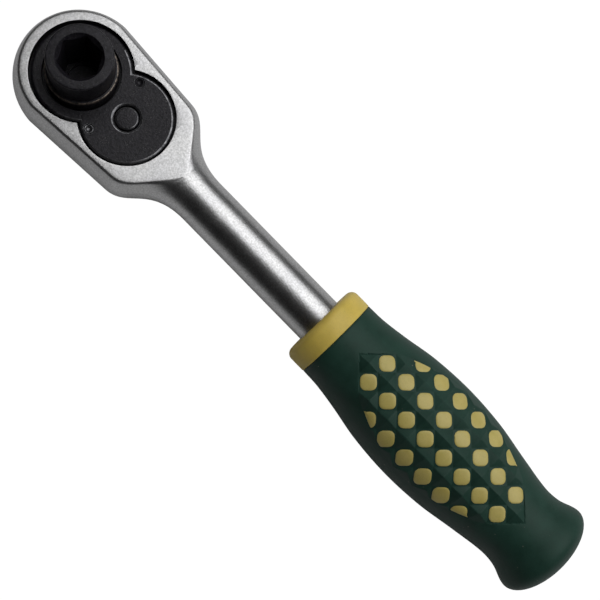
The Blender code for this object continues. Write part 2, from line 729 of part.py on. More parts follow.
def round_end(count):
    """Points over the grip's round end, from its tip on the axis to its widest ring."""
    last_x, last_radius = GRIP_STATIONS[-1]
    points = []
    for i in range(count):
        turn = 90 * DEGREE * i / count
        points.append((last_radius * math.sin(turn), last_x + (GRIP_END_X - last_x) * math.cos(turn)))
    return points


def outer_skin():
    return round_end(5) + grip_profile(SLEEVE_FRONT_X, GRIP_STATIONS[-1][0], 13)


def panel_half_width(x):
    share = (x - PANEL_X) / PANEL_HALF_LENGTH
    return PANEL_HALF_WIDTH * (1 - share * share)


def panel_outline(margin):
    """The lens-shaped edge of the patterned panel, seen from above it and widened by a margin."""
    places = [PANEL_X + PANEL_HALF_LENGTH * (i / 10 - 1) for i in range(21)]
    upper = [Vector((x, panel_half_width(x) + margin)) for x in places]
    lower = [Vector((x, -panel_half_width(x) - margin)) for x in reversed(places[1:-1])]
    return upper + lower


def dot_centres():
    """Rows of dots along the panel, half a pitch to either side of its middle."""
    centres = []
    for row in (-3, -1, 1, 3):
        y = row * DOT_ROW_OFFSET
        for column in range(-5, 5):
            x = PANEL_X + (column + 0.5) * DOT_PITCH
            if abs(y) < DOT_REACH * panel_half_width(x):
                centres.append(Vector((x, y)))
    return centres


def dot_outline(centre, side):
    """A rounded square standing on a corner."""
    flat = side / 2 - DOT_CORNER
    points = []
    for quarter in range(4):
        middle = 90 * DEGREE * quarter
        corner = Vector((flat, flat))
        corner.rotate(Matrix.Rotation(middle - 45 * DEGREE, 2))
        for i in range(2):
            turn = middle + (i - 0.5) * 60 * DEGREE
            offset = Vector((math.cos(turn), math.sin(turn))) * DOT_CORNER
            points.append(centre + corner + offset)
    return points


def dot_columns(name, side, sign):
    """Upright columns through the sleeve, one at each dot, cut off at the panel's edge."""
    loops = [dot_outline(centre, side) for centre in dot_centres()]
    widening = side - DOT_SIDE
    low, high = sorted((sign * (PEG_LOW_Z - widening), sign * PEG_HIGH_Z))
    columns = as_cutter(extruded(name, loops, low, high))
    outline = panel_outline(widening / 2)
    edge = as_cutter(extruded(name + "_edge", [outline], low - REACH, high + REACH))
    columns.rotation_euler = edge.rotation_euler = (PANEL_ROLL, 0.0, 0.0)
    combine(columns, edge, "INTERSECT")
    return columns


def add_grip_core(yellow_plastic):
    """Collar, inner barrel and the pegs that fill the sleeve's windows, bored for the tang."""
    edge = [
        (
            CORE_COLLAR_RADIUS - CORE_COLLAR_EDGE * (1 - math.cos(turn)),
            COLLAR_FRONT_X + CORE_COLLAR_EDGE * (1 - math.sin(turn)),
        )
        for turn in (90 * DEGREE * i / 4 for i in range(5))
    ]
    inset = SLEEVE_WALL + GAP
    barrel = grip_profile(SLEEVE_FRONT_X - GAP, CORE_END_X, 7, inset)
    step = (barrel[-1][0], SLEEVE_FRONT_X - GAP)
    profile = [(0.0, CORE_END_X), *barrel[:-1], step, (CORE_COLLAR_RADIUS, SLEEVE_FRONT_X - GAP)]
    profile += edge + [(0.0, COLLAR_FRONT_X)]
    core = lay_along_x(as_part(turned("grip_core", profile, GRIP_SIDES), yellow_plastic))
    envelope = outer_skin() + [(0.0, SLEEVE_FRONT_X)]
    skin = lay_along_x(as_cutter(turned("grip_envelope", envelope, GRIP_SIDES)))
    for name, sign in (("pegs_front", 1), ("pegs_back", -1)):
        pegs = dot_columns(name, DOT_SIDE, sign)
        combine(pegs, skin, "INTERSECT")
        combine(core, pegs, "UNION")
    bore_end = TANG_END_X + GAP
    bore = cylinder("tang_bore", SHANK_RADIUS + GAP, COLLAR_FRONT_X - REACH, bore_end, sides=32)
    combine(core, lay_along_x(as_cutter(bore)), "DIFFERENCE")


def add_grip_sleeve(green_rubber):
    cavity = grip_profile(SLEEVE_FRONT_X, CORE_END_X + GAP, 7, SLEEVE_WALL)[::-1]
    profile = outer_skin() + cavity + [(0.0, CORE_END_X + GAP)]
    sleeve = lay_along_x(as_part(turned("grip_sleeve", profile, GRIP_SIDES), green_rubber))
    for name, sign in (("windows_front", 1), ("windows_back", -1)):
        combine(sleeve, dot_columns(name, WINDOW_SIDE, sign), "DIFFERENCE")


# ------------------------------------------------------------------------------ build


clear_scene()
PARTS = add_collection("ratchet_wrench")
CUTTERS = add_collection("cutters")

satin_steel = add_material("satin_steel", (0.62, 0.62, 0.62), 0.38, 1.0)
black_oxide = add_material("black_oxide", (0.035, 0.034, 0.037), 0.42, 0.8)
bright_steel = add_material("bright_steel", (0.55, 0.55, 0.56), 0.28, 1.0)
yellow_plastic = add_material("yellow_plastic", (0.47, 0.39, 0.1), 0.5, 0.0)
green_rubber = add_material("green_rubber", (0.012, 0.06, 0.045), 0.55, 0.0)

lever_axis = add_axis("lever_axis", (PIVOT_X, 0.0, 0.0), LEVER_SWING / 2)
pawl_axis = add_axis("pawl_axis", (PIVOT_X, 0.0, 0.0), PAWL_SWING / 2)

add_forged_body(satin_steel)
add_cover_plate(black_oxide)
add_cover_pin("cover_pin_left", PIN_Y, black_oxide)
add_cover_pin("cover_pin_right", -PIN_Y, black_oxide)
add_drive_spindle(black_oxide)
add_bit_magnet(bright_steel)
add_friction_washer(bright_steel)
add_pawl(pawl_axis, bright_steel)
add_reversing_lever(lever_axis, black_oxide)
add_retaining_clip(lever_axis, bright_steel)
add_detent_ball(lever_axis, bright_steel)
add_detent_spring(lever_axis, bright_steel)
add_grip_core(yellow_plastic)
add_grip_sleeve(green_rubber)
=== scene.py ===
import json
import math

import bmesh
import bpy
from mathutils import Matrix, Vector


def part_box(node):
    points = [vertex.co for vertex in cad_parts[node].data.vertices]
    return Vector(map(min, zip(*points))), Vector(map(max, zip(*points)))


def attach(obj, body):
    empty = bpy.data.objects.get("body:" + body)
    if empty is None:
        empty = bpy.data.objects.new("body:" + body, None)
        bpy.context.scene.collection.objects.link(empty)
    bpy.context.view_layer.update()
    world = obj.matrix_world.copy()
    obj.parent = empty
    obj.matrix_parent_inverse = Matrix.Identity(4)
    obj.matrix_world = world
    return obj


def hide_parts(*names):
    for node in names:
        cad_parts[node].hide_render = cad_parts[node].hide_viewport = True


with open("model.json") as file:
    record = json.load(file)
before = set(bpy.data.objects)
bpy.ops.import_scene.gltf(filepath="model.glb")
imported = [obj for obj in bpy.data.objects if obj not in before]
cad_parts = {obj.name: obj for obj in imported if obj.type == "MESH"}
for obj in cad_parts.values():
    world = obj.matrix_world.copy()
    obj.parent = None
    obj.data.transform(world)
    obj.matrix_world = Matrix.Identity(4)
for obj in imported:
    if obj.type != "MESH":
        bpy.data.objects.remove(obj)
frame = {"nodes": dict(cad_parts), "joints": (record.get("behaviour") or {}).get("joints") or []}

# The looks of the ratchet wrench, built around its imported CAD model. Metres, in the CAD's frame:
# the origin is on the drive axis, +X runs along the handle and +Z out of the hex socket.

MM = 0.001
DEGREE = math.pi / 180
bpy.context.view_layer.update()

# ------------------------------------------------------------------ sizes taken from the frame

JOINTS = {joint["name"]: joint for joint in frame["joints"]}
PIVOT_X = JOINTS["lever_turn"]["pos_m"][0]
LEVER_REST_ANGLE = -JOINTS["lever_turn"]["range_deg"][0] / 2 * DEGREE
BODY_LOW, BODY_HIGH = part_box("forged_body")
PLATE_LOW, PLATE_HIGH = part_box("cover_plate")
SPINDLE_LOW, SPINDLE_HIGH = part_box("drive_spindle")
SLEEVE_LOW, SLEEVE_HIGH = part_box("grip_sleeve")

FACE_Z = BODY_HIGH.z
PLATE_Z = PLATE_HIGH.z
BOSS_Z = SPINDLE_HIGH.z
STUD_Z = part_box("reversing_lever")[1].z
MAGNET_LOW_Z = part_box("bit_magnet")[0].z
COLLAR_START_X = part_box("grip_core")[0].x
GRIP_START_X = SLEEVE_LOW.x
GRIP_END_X = SLEEVE_HIGH.x

GAP = 0.3 * MM  # clearance between pieces that move or fit together
FLUSH = 0.01 * MM  # a point nearer to a face than this counts as on it
WELD = 0.002 * MM  # points nearer to each other than this become one

# --------------------------------------------------------------- shape of the body and plate

NOSE_X = -0.5 * MM
NOSE_RADIUS = NOSE_X - BODY_LOW.x
SIDE_TAPER = 3.5 * DEGREE
SHOULDER_X = 15.5 * MM
SHANK_X = 28.0 * MM
SHANK_RADIUS = 4.25 * MM
SHOULDER_FULLNESS = (4.7 * MM, 8.1 * MM)
SECTION_SQUASH = 0.97  # height over width of the round section that the head's sides belong to
SQUASH_END_X = 21.5 * MM
FACE_EDGE = 0.32 * MM  # rounding of the edge between the faces and the sides
FACE_CROWN = 0.03 * MM  # how far the face falls away towards that edge
FACE_CROWN_WIDTH = 1.3 * MM
BODY_END_X = GRIP_START_X + 2 * MM

RECESS_DRIVE_RADIUS = 8.58 * MM
RECESS_PIVOT_RADIUS = 8.02 * MM
RECESS_EDGE = 0.2 * MM
PLATE_GAP = 0.4 * MM
PLATE_EDGE = 0.5 * MM
PLATE_EDGE_DEPTH = 0.2 * MM
PLATE_DRIVE_HOLE = 6.4 * MM
PLATE_PIVOT_HOLE = 2.2 * MM
DRIVE_HOLE_EDGE = 0.1 * MM
PIVOT_HOLE_EDGE = 0.42 * MM
PIN_HOLE_EDGE = 0.12 * MM
HIGHLIGHT_FROM_X = 2 * MM  # the plate's edges carry a painted highlight from here towards the handle, the side that faces the light
OVERCUT = 0.004 * MM  # keeps the cutters' rims off the plate's own surface
PIN_X = 7.5 * MM
PIN_Y = 5.65 * MM
PIN_RADIUS = 0.78 * MM

# ----------------------------------------------------------- shape of the spindle and lever

COLLAR_RADIUS = 5.97 * MM
COLLAR_TOP_Z = FACE_Z + 1.5 * MM
COLLAR_EDGE = 0.25 * MM
COLLAR_WEAR_AND_HIGHLIGHT = 0.22 * MM  # how far in the collar's edge is painted brown, partly wear and partly a painted highlight
BOSS_RADIUS = 5.4 * MM
BOSS_EDGE = 0.3 * MM
BOSS_WALL_TOP_Z = BOSS_Z - 0.2 * MM
HEX_ACROSS_FLATS = 6.4 * MM
SOCKET_FLOOR_Z = -0.3 * MM
SOCKET_MOUTH_RADIUS = 3.9 * MM
SOCKET_LEAD_IN = 0.9 * MM
MAGNET_BORE_RADIUS = 2.7 * MM
HUB_RADIUS = 4.7 * MM
HUB_TOP_Z = PLATE_LOW.z - 0.5 * MM
SPINDLE_SIDES = 128

STUD_RADIUS = 1.97 * MM
STUD_EDGE = 0.4 * MM
STUD_HIGHLIGHT = 0.25 * MM  # how far down the stud's edge carries a painted highlight
LEVER_THICKNESS = 2.3 * MM
LEVER_HUB_RADIUS = 4.4 * MM
ARM_LENGTH = 7.6 * MM
ARM_TIP_RADIUS = 2.5 * MM
ARM_ROOT_HALF_WIDTH = 3.2 * MM
RIDGE_SIZE = (0.5 * MM, 3.2 * MM, 1.0 * MM)
RIDGE_COUNT = 4
RIDGE_PITCH = 1.1 * MM

# ------------------------------------------------------------------------ shape of the grip

CORE_COLLAR_RADIUS = 7.62 * MM
CORE_COLLAR_EDGE = 1.3 * MM
CORE_LIP_RADIUS = 6.5 * MM
CORE_LIP_LENGTH = 2 * MM
SLEEVE_MOUTH_RADIUS = 6.3 * MM
SLEEVE_MOUTH_DEPTH = 1.5 * MM
GRIP_STATIONS = (  # (distance from the drive axis, radius), joined by a smooth curve
    (GRIP_START_X, 7.57 * MM),
    (63.0 * MM, 7.7 * MM),
    (67.5 * MM, 8.32 * MM),
    (73.5 * MM, 9.36 * MM),
    (81.0 * MM, 9.84 * MM),
    (88.5 * MM, 9.44 * MM),
    (95.5 * MM, 8.3 * MM),
    (101.5 * MM, 7.43 * MM),
    (104.5 * MM, 7.62 * MM),
    (108.1 * MM, 8.7 * MM),
)
PANEL_ROLL = 3.0 * DEGREE
PANEL_X = 82.65 * MM
PANEL_HALF_LENGTH = 21.25 * MM
PANEL_HALF_WIDTH = 8.6 * MM
DOT_PITCH = 4.2 * MM
DOT_ROW_OFFSET = 2.13 * MM
DOT_SIDE = 2.7 * MM
DOT_CORNER = 0.92 * MM
DOT_MARGIN = 0.1 * MM  # skin left between a dot and the panel's outline
DOT_RINGS = (  # (distance in from the outline, distance below the top), in millimetres
    (0.0, 1.0),
    (0.0, 0.16),
    (0.04, 0.08),
    (0.12, 0.03),
    (0.28, 0.0),
)
CELL_REACH = 1.3  # how far out a cell's centre may lie, as a share of the panel's half width
FLOOR_DEPTH = 0.6 * MM
PYRAMID_HEIGHT = 0.85 * MM
EDGE_SLOPE = 0.55  # how fast the pyramids may rise from the panel's outline
DOT_PROUD = 0.08 * MM  # how far the dots stand out of the floor between the pyramids

# --------------------------------------------------------------------- camera and light

CAMERA_TILT = 9.85 * DEGREE  # from straight above the socket towards the tool's -Y side
CAMERA_TURN = 45.61 * DEGREE  # how far the handle points down and to the right in the view
CAMERA_TARGET = Vector((51.0 * MM, 0.2 * MM, 0.0))
CAMERA_DISTANCE = 216.0 * MM
CAMERA_LENS = 78.5
SOFTBOX_ANGLE = 38.5 * DEGREE  # from the camera's direction towards the tool's +Y side
SOFTBOX_DISTANCE = 320 * MM
SOFTBOX_MIDDLE_X = 150 * MM
SOFTBOX_LENGTH = 600 * MM
SOFTBOX_WIDTH = 310 * MM
SOFTBOX_POWER = 1.16
ROOM_LIGHT = 0.008  # what little the pale room adds to the softbox
TABLE_GAP = 0.3 * MM  # between the CAD sleeve's lowest point and the table top
TABLE_GLOW = 1.06  # an even white that only the camera sees on the table
TABLE_GLOW_SHARE = 0.95


# ------------------------------------------------------------------------------- helpers


def arc(centre_x, radius, start, end, count):
    steps = [start + (end - start) * i / (count - 1) for i in range(count)]
    return [Vector((centre_x + radius * math.cos(a), radius * math.sin(a))) for a in steps]


def bezier(points, t):
    a, b, c, d = points
    s = 1 - t
    return a * s**3 + b * (3 * s * s * t) + c * (3 * s * t * t) + d * t**3


def unique(corners):
    """A face's corners without those that come twice."""
    return [corner for i, corner in enumerate(corners) if corner not in corners[:i]]


def bridge(shape, first, second):
    """A band of quads between two rings of as many points."""
    for i in range(len(first)):
        j = (i + 1) % len(first)
        shape.faces.new((first[i], first[j], second[j], second[i]))


def finish_mesh(name, shape):
    """A bmesh as a new object in the scene."""
    bmesh.ops.recalc_face_normals(shape, faces=shape.faces)
    mesh = bpy.data.meshes.new(name)
    shape.to_mesh(mesh)
    shape.free()
    obj = bpy.data.objects.new(name, mesh)
    bpy.context.scene.collection.objects.link(obj)
    return obj


def shade(obj, angle=38 * DEGREE):
    obj.data.shade_smooth()
    obj.data.set_sharp_from_angle(angle=angle)
    return obj


def freeze(obj):
    """Applies every modifier."""
    bpy.context.view_layer.update()
    graph = bpy.context.evaluated_depsgraph_get()
    mesh = bpy.data.meshes.new_from_object(obj.evaluated_get(graph))
    old = obj.data
    obj.modifiers.clear()
    obj.data = mesh
    bpy.data.meshes.remove(old)
    return obj


def combine(obj, other, operation):
    modifier = obj.modifiers.new(operation, "BOOLEAN")
    modifier.operation = operation
    modifier.object = other
    modifier.solver = "EXACT"
    freeze(obj)
    bpy.data.objects.remove(other, do_unlink=True)
    return obj


def bevel(obj, width, segments=3, angle=40 * DEGREE):
    """Rounds the sharp edges."""
    modifier = obj.modifiers.new("bevel", "BEVEL")
    modifier.width = width
    modifier.segments = segments
    modifier.limit_method = "ANGLE"
    modifier.angle_limit = angle
    modifier.miter_outer = "MITER_ARC"
    return freeze(obj)


def weight_normals(obj):
    modifier = obj.modifiers.new("normals", "WEIGHTED_NORMAL")
    modifier.keep_sharp = True
    modifier.weight = 80
    return freeze(obj)


def rounded(corners, steps=5):
    """(radius, height, rounding) corners of a profile, each rounded corner made an arc."""
    points = []
    for i, (r, z, rounding) in enumerate(corners):
        here = Vector((r, z))
        if rounding <= 0 or i in (0, len(corners) - 1):
            points.append(here)
            continue
        before = (Vector(corners[i - 1][:2]) - here).normalized()
        after = (Vector(corners[i + 1][:2]) - here).normalized()
        half = before.angle(after) / 2
        reach = rounding / math.tan(half)
        centre = here + (before + after).normalized() * (rounding / math.sin(half))
        first = here + before * reach - centre
        last = here + after * reach - centre
        for step in range(steps + 1):
            share = step / steps
            points.append(centre + first.slerp(last, share).normalized() * rounding)
    return [(p.x, p.y) for p in points]


def lathe(name, profile, sides=96, closed=False, along_x=False):
    """Turns (radius, height) points about Z, or about X. Points on the axis become poles."""
    shape = bmesh.new()
    rings = []
    for radius, height in profile:
        if radius < WELD:
            rings.append([shape.verts.new((0.0, 0.0, height))])
            continue
        turns = [2 * math.pi * i / sides for i in range(sides)]
        rings.append(
            [shape.verts.new((radius * math.cos(a), radius * math.sin(a), height)) for a in turns]
        )
    pairs = list(zip(rings, rings[1:]))
    if closed:
        pairs.append((rings[-1], rings[0]))
    for upper, lower in pairs:
        for i in range(sides):
            j = (i + 1) % sides
            corners = [upper[i % len(upper)], lower[i % len(lower)]]
            corners = unique(corners + [lower[j % len(lower)], upper[j % len(upper)]])
            if len(corners) > 2:
                shape.faces.new(corners)
    if along_x:
        bmesh.ops.rotate(shape, verts=shape.verts, matrix=Matrix.Rotation(90 * DEGREE, 3, "Y"))
    return finish_mesh(name, shape)


def prism(name, loop, low, high):
    """A flat closed loop of points made solid between two heights."""
    shape = bmesh.new()
    bottom = [shape.verts.new((p.x, p.y, low)) for p in loop]
    top = [shape.verts.new((p.x, p.y, high)) for p in loop]
    shape.faces.new(bottom[::-1])
    shape.faces.new(top)
    bridge(shape, bottom, top)
    return finish_mesh(name, shape)


def cylinder(name, radius, low, high, sides=96, top_radius=None):
    """A cylinder about the drive axis, or a cone where the top's radius is given."""
    shape = bmesh.new()
    bmesh.ops.create_cone(
        shape,
        cap_ends=True,
        segments=sides,
        radius1=radius,
        radius2=radius if top_radius is None else top_radius,
        depth=high - low,
        matrix=Matrix.Translation((0.0, 0.0, (low + high) / 2)),
    )
    return finish_mesh(name, shape)


def two_lobes(drive_radius, pivot_radius, count=72):
    """The outline of two overlapping circles, one about the drive axis and one about the pivot."""
    drive = (PIVOT_X**2 + drive_radius**2 - pivot_radius**2) / (2 * PIVOT_X * drive_radius)
    pivot = (PIVOT_X**2 + pivot_radius**2 - drive_radius**2) / (2 * PIVOT_X * pivot_radius)
    drive_angle = math.acos(drive)
    pivot_angle = math.acos(pivot)
    front = arc(0.0, drive_radius, drive_angle, 2 * math.pi - drive_angle, count)
    back = arc(PIVOT_X, pivot_radius, pivot_angle - math.pi, math.pi - pivot_angle, count)
    return front[:-1] + back[:-1]


def dress(piece, body, slot, material, *nodes):
    """Gives a piece its material, and makes it ride on a body in place of CAD nodes."""
    piece.data.materials.clear()
    piece.data.materials.append(material)
    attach(piece, body)
    if nodes:
        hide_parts(*nodes)
    return piece


# ----------------------------------------------------------------------------- materials


class Nodes:
    """Builds a material's node tree in short lines."""

    def __init__(self, name, metallic, roughness):
        self.material = bpy.data.materials.new(name)
        self.material.use_nodes = True
        self.tree = self.material.node_tree
        self.shader = self.tree.nodes["Principled BSDF"]
        self.shader.inputs["Metallic"].default_value = metallic
        self.shader.inputs["Roughness"].default_value = roughness
        self.place = self.tree.nodes.new("ShaderNodeTexCoord").outputs["Object"]

    def link(self, source, target):
        self.tree.links.new(source, target)

    def noise(self, scale, detail=2.0, roughness=0.5, stretch=None):
        node = self.tree.nodes.new("ShaderNodeTexNoise")
        node.inputs["Scale"].default_value = scale
        node.inputs["Detail"].default_value = detail
        node.inputs["Roughness"].default_value = roughness
        source = self.place
        if stretch:
            mapping = self.tree.nodes.new("ShaderNodeMapping")
            mapping.inputs["Scale"].default_value = stretch
            self.link(source, mapping.inputs["Vector"])
            source = mapping.outputs["Vector"]
        self.link(source, node.inputs["Vector"])
        return node.outputs["Fac"]

    def along(self):
        """Distance along the tool."""
        split = self.tree.nodes.new("ShaderNodeSeparateXYZ")
        self.link(self.place, split.inputs["Vector"])
        return split.outputs["X"]

    def specks(self, scale, size):
        """1 in small sparse dots, 0 between them."""
        node = self.tree.nodes.new("ShaderNodeTexVoronoi")
        node.inputs["Scale"].default_value = scale
        self.link(self.place, node.inputs["Vector"])
        return self.ramp(node.outputs["Distance"], size * 0.5, size, 1.0, 0.0)

    def ramp(self, source, low, high, at_low, at_high):
        node = self.tree.nodes.new("ShaderNodeMapRange")
        node.inputs["From Min"].default_value = low
        node.inputs["From Max"].default_value = high
        node.inputs["To Min"].default_value = at_low
        node.inputs["To Max"].default_value = at_high
        self.link(source, node.inputs["Value"])
        return node.outputs["Result"]

    def multiply(self, a, b):
        node = self.tree.nodes.new("ShaderNodeMath")
        node.operation = "MULTIPLY"
        self.link(a, node.inputs[0])
        self.link(b, node.inputs[1])
        return node.outputs["Value"]

    def mix(self, share, first, second):
        node = self.tree.nodes.new("ShaderNodeMix")
        node.data_type = "RGBA"
        self.link(share, node.inputs["Factor"])
        for socket, colour in ((node.inputs[6], first), (node.inputs[7], second)):
            if isinstance(colour, tuple):
                socket.default_value = (*colour, 1.0)
            else:
                self.link(colour, socket)
        return node.outputs[2]

    def colour(self, source):
        self.link(source, self.shader.inputs["Base Color"])

    def rough(self, source):
        self.link(source, self.shader.inputs["Roughness"])

    def bump(self, source, strength, distance):
        node = self.tree.nodes.new("ShaderNodeBump")
        node.inputs["Strength"].default_value = strength
        node.inputs["Distance"].default_value = distance
        self.link(source, node.inputs["Height"])
        previous = self.shader.inputs["Normal"]
        if previous.is_linked:
            self.link(previous.links[0].from_socket, node.inputs["Normal"])
        self.link(node.outputs["Normal"], previous)


def satin_steel():
    """Bead-blasted, satin-plated steel: fine grain, slightly cloudy, smoother along the shank."""
    n = Nodes("satin_steel", 1.0, 0.36)
    clouds = n.noise(260, 4, 0.6)
    grain = n.noise(5400, 2, 0.6)
    speckle = n.noise(3900, 2, 0.55)
    tone = n.mix(n.ramp(clouds, 0.35, 0.65, 0.0, 1.0), (0.57, 0.57, 0.58), (0.64, 0.64, 0.64))
    n.colour(n.mix(n.ramp(speckle, 0.35, 0.65, 0.0, 0.65), tone, (0.31, 0.31, 0.31)))
    smoother = n.ramp(n.along(), SHOULDER_X, SHANK_X, 1.0, 0.8)
    n.rough(n.multiply(n.ramp(clouds, 0.3, 0.7, 0.38, 0.43), smoother))
    n.bump(grain, 0.5, 0.04 * MM)
    return n.material


def black_oxide(name, shine):
    """Dark, slightly oiled oxide with a fine sparkling mottle."""
    n = Nodes(name, 0.2, 0.42)
    mottle = n.noise(2000, 4, 0.75)
    broad = n.noise(220, 3, 0.5)
    base = n.mix(n.ramp(mottle, 0.3, 0.7, 0.0, 1.0), (0.002, 0.0018, 0.0027), (0.024, 0.0225, 0.0285))
    glints = n.multiply(n.specks(3400, 0.3), n.ramp(n.noise(700, 2, 0.5), 0.4, 0.65, 0.0, 0.6))
    n.colour(n.mix(glints, base, (0.10, 0.097, 0.095)))
    n.rough(n.ramp(broad, 0.3, 0.7, 0.31, 0.4))
    n.bump(mottle, 0.9, 0.09 * MM)
    n.shader.inputs["Specular IOR Level"].default_value = shine
    return n.material


def wear_and_highlight_oxide():
    """The same finish gone brown along an edge: partly wear, partly a painted highlight for the light
    the edge catches.
    """
    n = Nodes("wear_and_highlight_oxide", 0.6, 0.36)
    edge_mottle = n.noise(1900, 4, 0.6)
    n.colour(n.mix(n.ramp(edge_mottle, 0.35, 0.6, 0.0, 1.0), (0.02, 0.018, 0.017), (0.17, 0.14, 0.115)))
    n.rough(n.ramp(edge_mottle, 0.3, 0.7, 0.45, 0.3))
    n.bump(edge_mottle, 0.15, 0.04 * MM)
    return n.material


def painted_highlight_oxide():
    """The same finish painted as grey steel, a painted highlight for rolled edges and one of the
    pins.
    """
    n = Nodes("painted_highlight_oxide", 0.9, 0.34)
    edge_mottle = n.noise(1700, 4, 0.6)
    n.colour(n.mix(n.ramp(edge_mottle, 0.3, 0.65, 0.0, 1.0), (0.05, 0.05, 0.055), (0.23, 0.23, 0.24)))
    n.rough(n.ramp(edge_mottle, 0.3, 0.7, 0.38, 0.28))
    n.bump(edge_mottle, 0.2, 0.04 * MM)
    return n.material


def bright_steel():
    """Plain polished steel with fine marks, for the pieces inside the head."""
    n = Nodes("bright_steel", 1.0, 0.25)
    marks = n.noise(1800, 3, 0.6, stretch=(1.0, 1.0, 6.0))
    n.colour(n.mix(n.ramp(marks, 0.3, 0.7, 0.0, 1.0), (0.45, 0.45, 0.46), (0.6, 0.6, 0.6)))
    n.rough(n.ramp(marks, 0.3, 0.7, 0.2, 0.34))
    n.bump(marks, 0.1, 0.03 * MM)
    return n.material


def yellow_plastic(name, dark, light, dirt, shine):
    """Muted yellow moulding, a little dirtied by use."""
    n = Nodes(name, 0.0, 0.45)
    clouds = n.noise(420, 4, 0.6)
    fine = n.noise(4200, 2, 0.5)
    base = n.mix(n.ramp(clouds, 0.3, 0.7, 0.0, 1.0), dark, light)
    n.colour(n.mix(n.ramp(fine, 0.55, 0.8, 0.0, 0.4), base, dirt))
    n.rough(n.ramp(clouds, 0.3, 0.7, 0.38, 0.5))
    n.bump(fine, 0.12, 0.05 * MM)
    n.shader.inputs["Specular IOR Level"].default_value = shine
    n.shader.inputs["Subsurface Weight"].default_value = 0.08
    n.shader.inputs["Subsurface Radius"].default_value = (1.2 * MM, 0.8 * MM, 0.3 * MM)
    return n.material


def green_rubber():
    """Dark green soft moulding with a fine matt skin and a few specks of dust."""
    n = Nodes("green_rubber", 0.0, 0.5)
    clouds = n.noise(300, 4, 0.6)
    fine = n.noise(3800, 2, 0.5)
    base = n.mix(n.ramp(clouds, 0.3, 0.7, 0.0, 1.0), (0.0135, 0.042, 0.030), (0.0205, 0.060, 0.044))
    dust = n.multiply(n.specks(700, 0.09), n.ramp(n.noise(160, 2, 0.5), 0.52, 0.62, 0.0, 0.6))
    n.colour(n.mix(dust, base, (0.30, 0.29, 0.24)))
    n.rough(n.ramp(clouds, 0.3, 0.7, 0.46, 0.58))
    n.bump(fine, 0.2, 0.05 * MM)
    n.shader.inputs["Specular IOR Level"].default_value = 0.2
    return n.material


# ------------------------------------------------------------------------------ the body


def body_stations():
    """(outline point at mid height, direction into the body, radius of the round section) along
    the +Y side, from the nose's tip to inside the grip."""
    nose_steps, side_steps, shoulder_steps, shank_steps = 26, 8, 48, 8
    stations = []
    for i in range(nose_steps + 1):
        angle = (90 * DEGREE - SIDE_TAPER) * i / nose_steps
        inward = Vector((math.cos(angle), -math.sin(angle)))
        stations.append((Vector((NOSE_X, 0.0)) - NOSE_RADIUS * inward, inward, NOSE_RADIUS))
    tangent, inward, _ = stations[-1]
    shoulder_y = tangent.y - (SHOULDER_X - tangent.x) * math.tan(SIDE_TAPER)
    shoulder = Vector((SHOULDER_X, shoulder_y))
    for i in range(1, side_steps):
        point = tangent.lerp(shoulder, i / side_steps)
        stations.append((point, inward, point.y))
    outline = (
        shoulder,
        Vector((SHOULDER_X + SHOULDER_FULLNESS[0], shoulder_y - 0.3 * MM)),
        Vector((SHANK_X - SHOULDER_FULLNESS[1], SHANK_RADIUS + 0.1 * MM)),
        Vector((SHANK_X, SHANK_RADIUS)),
    )
    across = Vector((0.0, -1.0))
    for i in range(shoulder_steps + 1):
        t = i / shoulder_steps
        point = bezier(outline, t)
        stations.append((point, inward.lerp(across, min(1.0, 4 * t)).normalized(), point.y))
    for i in range(1, shank_steps + 1):
        x = SHANK_X + (BODY_END_X - SHANK_X) * i / shank_steps
        stations.append((Vector((x, SHANK_RADIUS)), across, SHANK_RADIUS))
    return stations


def body_column(station, side, edge_steps=6, side_steps=12):
    """Points down one side: the crowned face, its rounded edge, then the round section's arc."""
    point, inward, radius = station
    blend = min(1.0, max(0.0, (point.x - SHOULDER_X) / (SQUASH_END_X - SHOULDER_X)))
    height = radius * (SECTION_SQUASH + (1 - SECTION_SQUASH) * blend)
    top = min(FACE_Z, height)
    face_inset = radius * (1 - math.cos(math.asin(top / height)))
    edge = min(FACE_EDGE, (radius - face_inset) / 2)
    width = min(FACE_CROWN_WIDTH, max(0.0, radius - face_inset - edge))
    fall = FACE_CROWN * width / FACE_CROWN_WIDTH
    crown = [(width * (1 - t), fall * t * t) for t in (0.0, 0.25, 0.5, 0.75)]
    half = [(face_inset + edge + inset, top - drop) for inset, drop in crown]
    first_angle = math.asin(max(0.0, top - fall - edge) / height)
    start = Vector((face_inset + edge, top - fall))
    corner = Vector((face_inset + 0.1 * edge, top - fall - 0.1 * edge))
    finish = Vector((radius * (1 - math.cos(first_angle)), height * math.sin(first_angle)))
    for i in range(edge_steps):
        t = i / edge_steps
        half.append(tuple(start * (1 - t) ** 2 + corner * (2 * t * (1 - t)) + finish * t * t))
    for i in range(side_steps + 1):
        angle = first_angle * (1 - i / side_steps)
        half.append((radius * (1 - math.cos(angle)), height * math.sin(angle)))
    whole = half + [(inset, -z) for inset, z in reversed(half[:-1])]
    column = []
    for inset, z in whole:
        place = point + inward * inset
        column.append(Vector((place.x, side * max(place.y, 0.0), z)))
    return column


def body_blank():
    """The body before its recess and bore are cut."""
    shape = bmesh.new()
    rings = []
    for index, station in enumerate(body_stations()):
        left = [shape.verts.new(point) for point in body_column(station, 1)]
        right = left
        if index:
            right = [shape.verts.new(point) for point in body_column(station, -1)]
        rings.append((left, right))
    for (left, right), (next_left, next_right) in zip(rings, rings[1:]):
        loop = left + right[::-1]
        next_loop = next_left + next_right[::-1]
        for i in range(len(loop)):
            j = (i + 1) % len(loop)
            shape.faces.new(unique([loop[i], loop[j], next_loop[j], next_loop[i]]))
    last_left, last_right = rings[-1]
    shape.faces.new(last_left + last_right[::-1])
    bmesh.ops.remove_doubles(shape, verts=shape.verts, dist=WELD)
    bmesh.ops.dissolve_degenerate(shape, edges=shape.edges, dist=WELD)
    return finish_mesh("body_shell", shape)


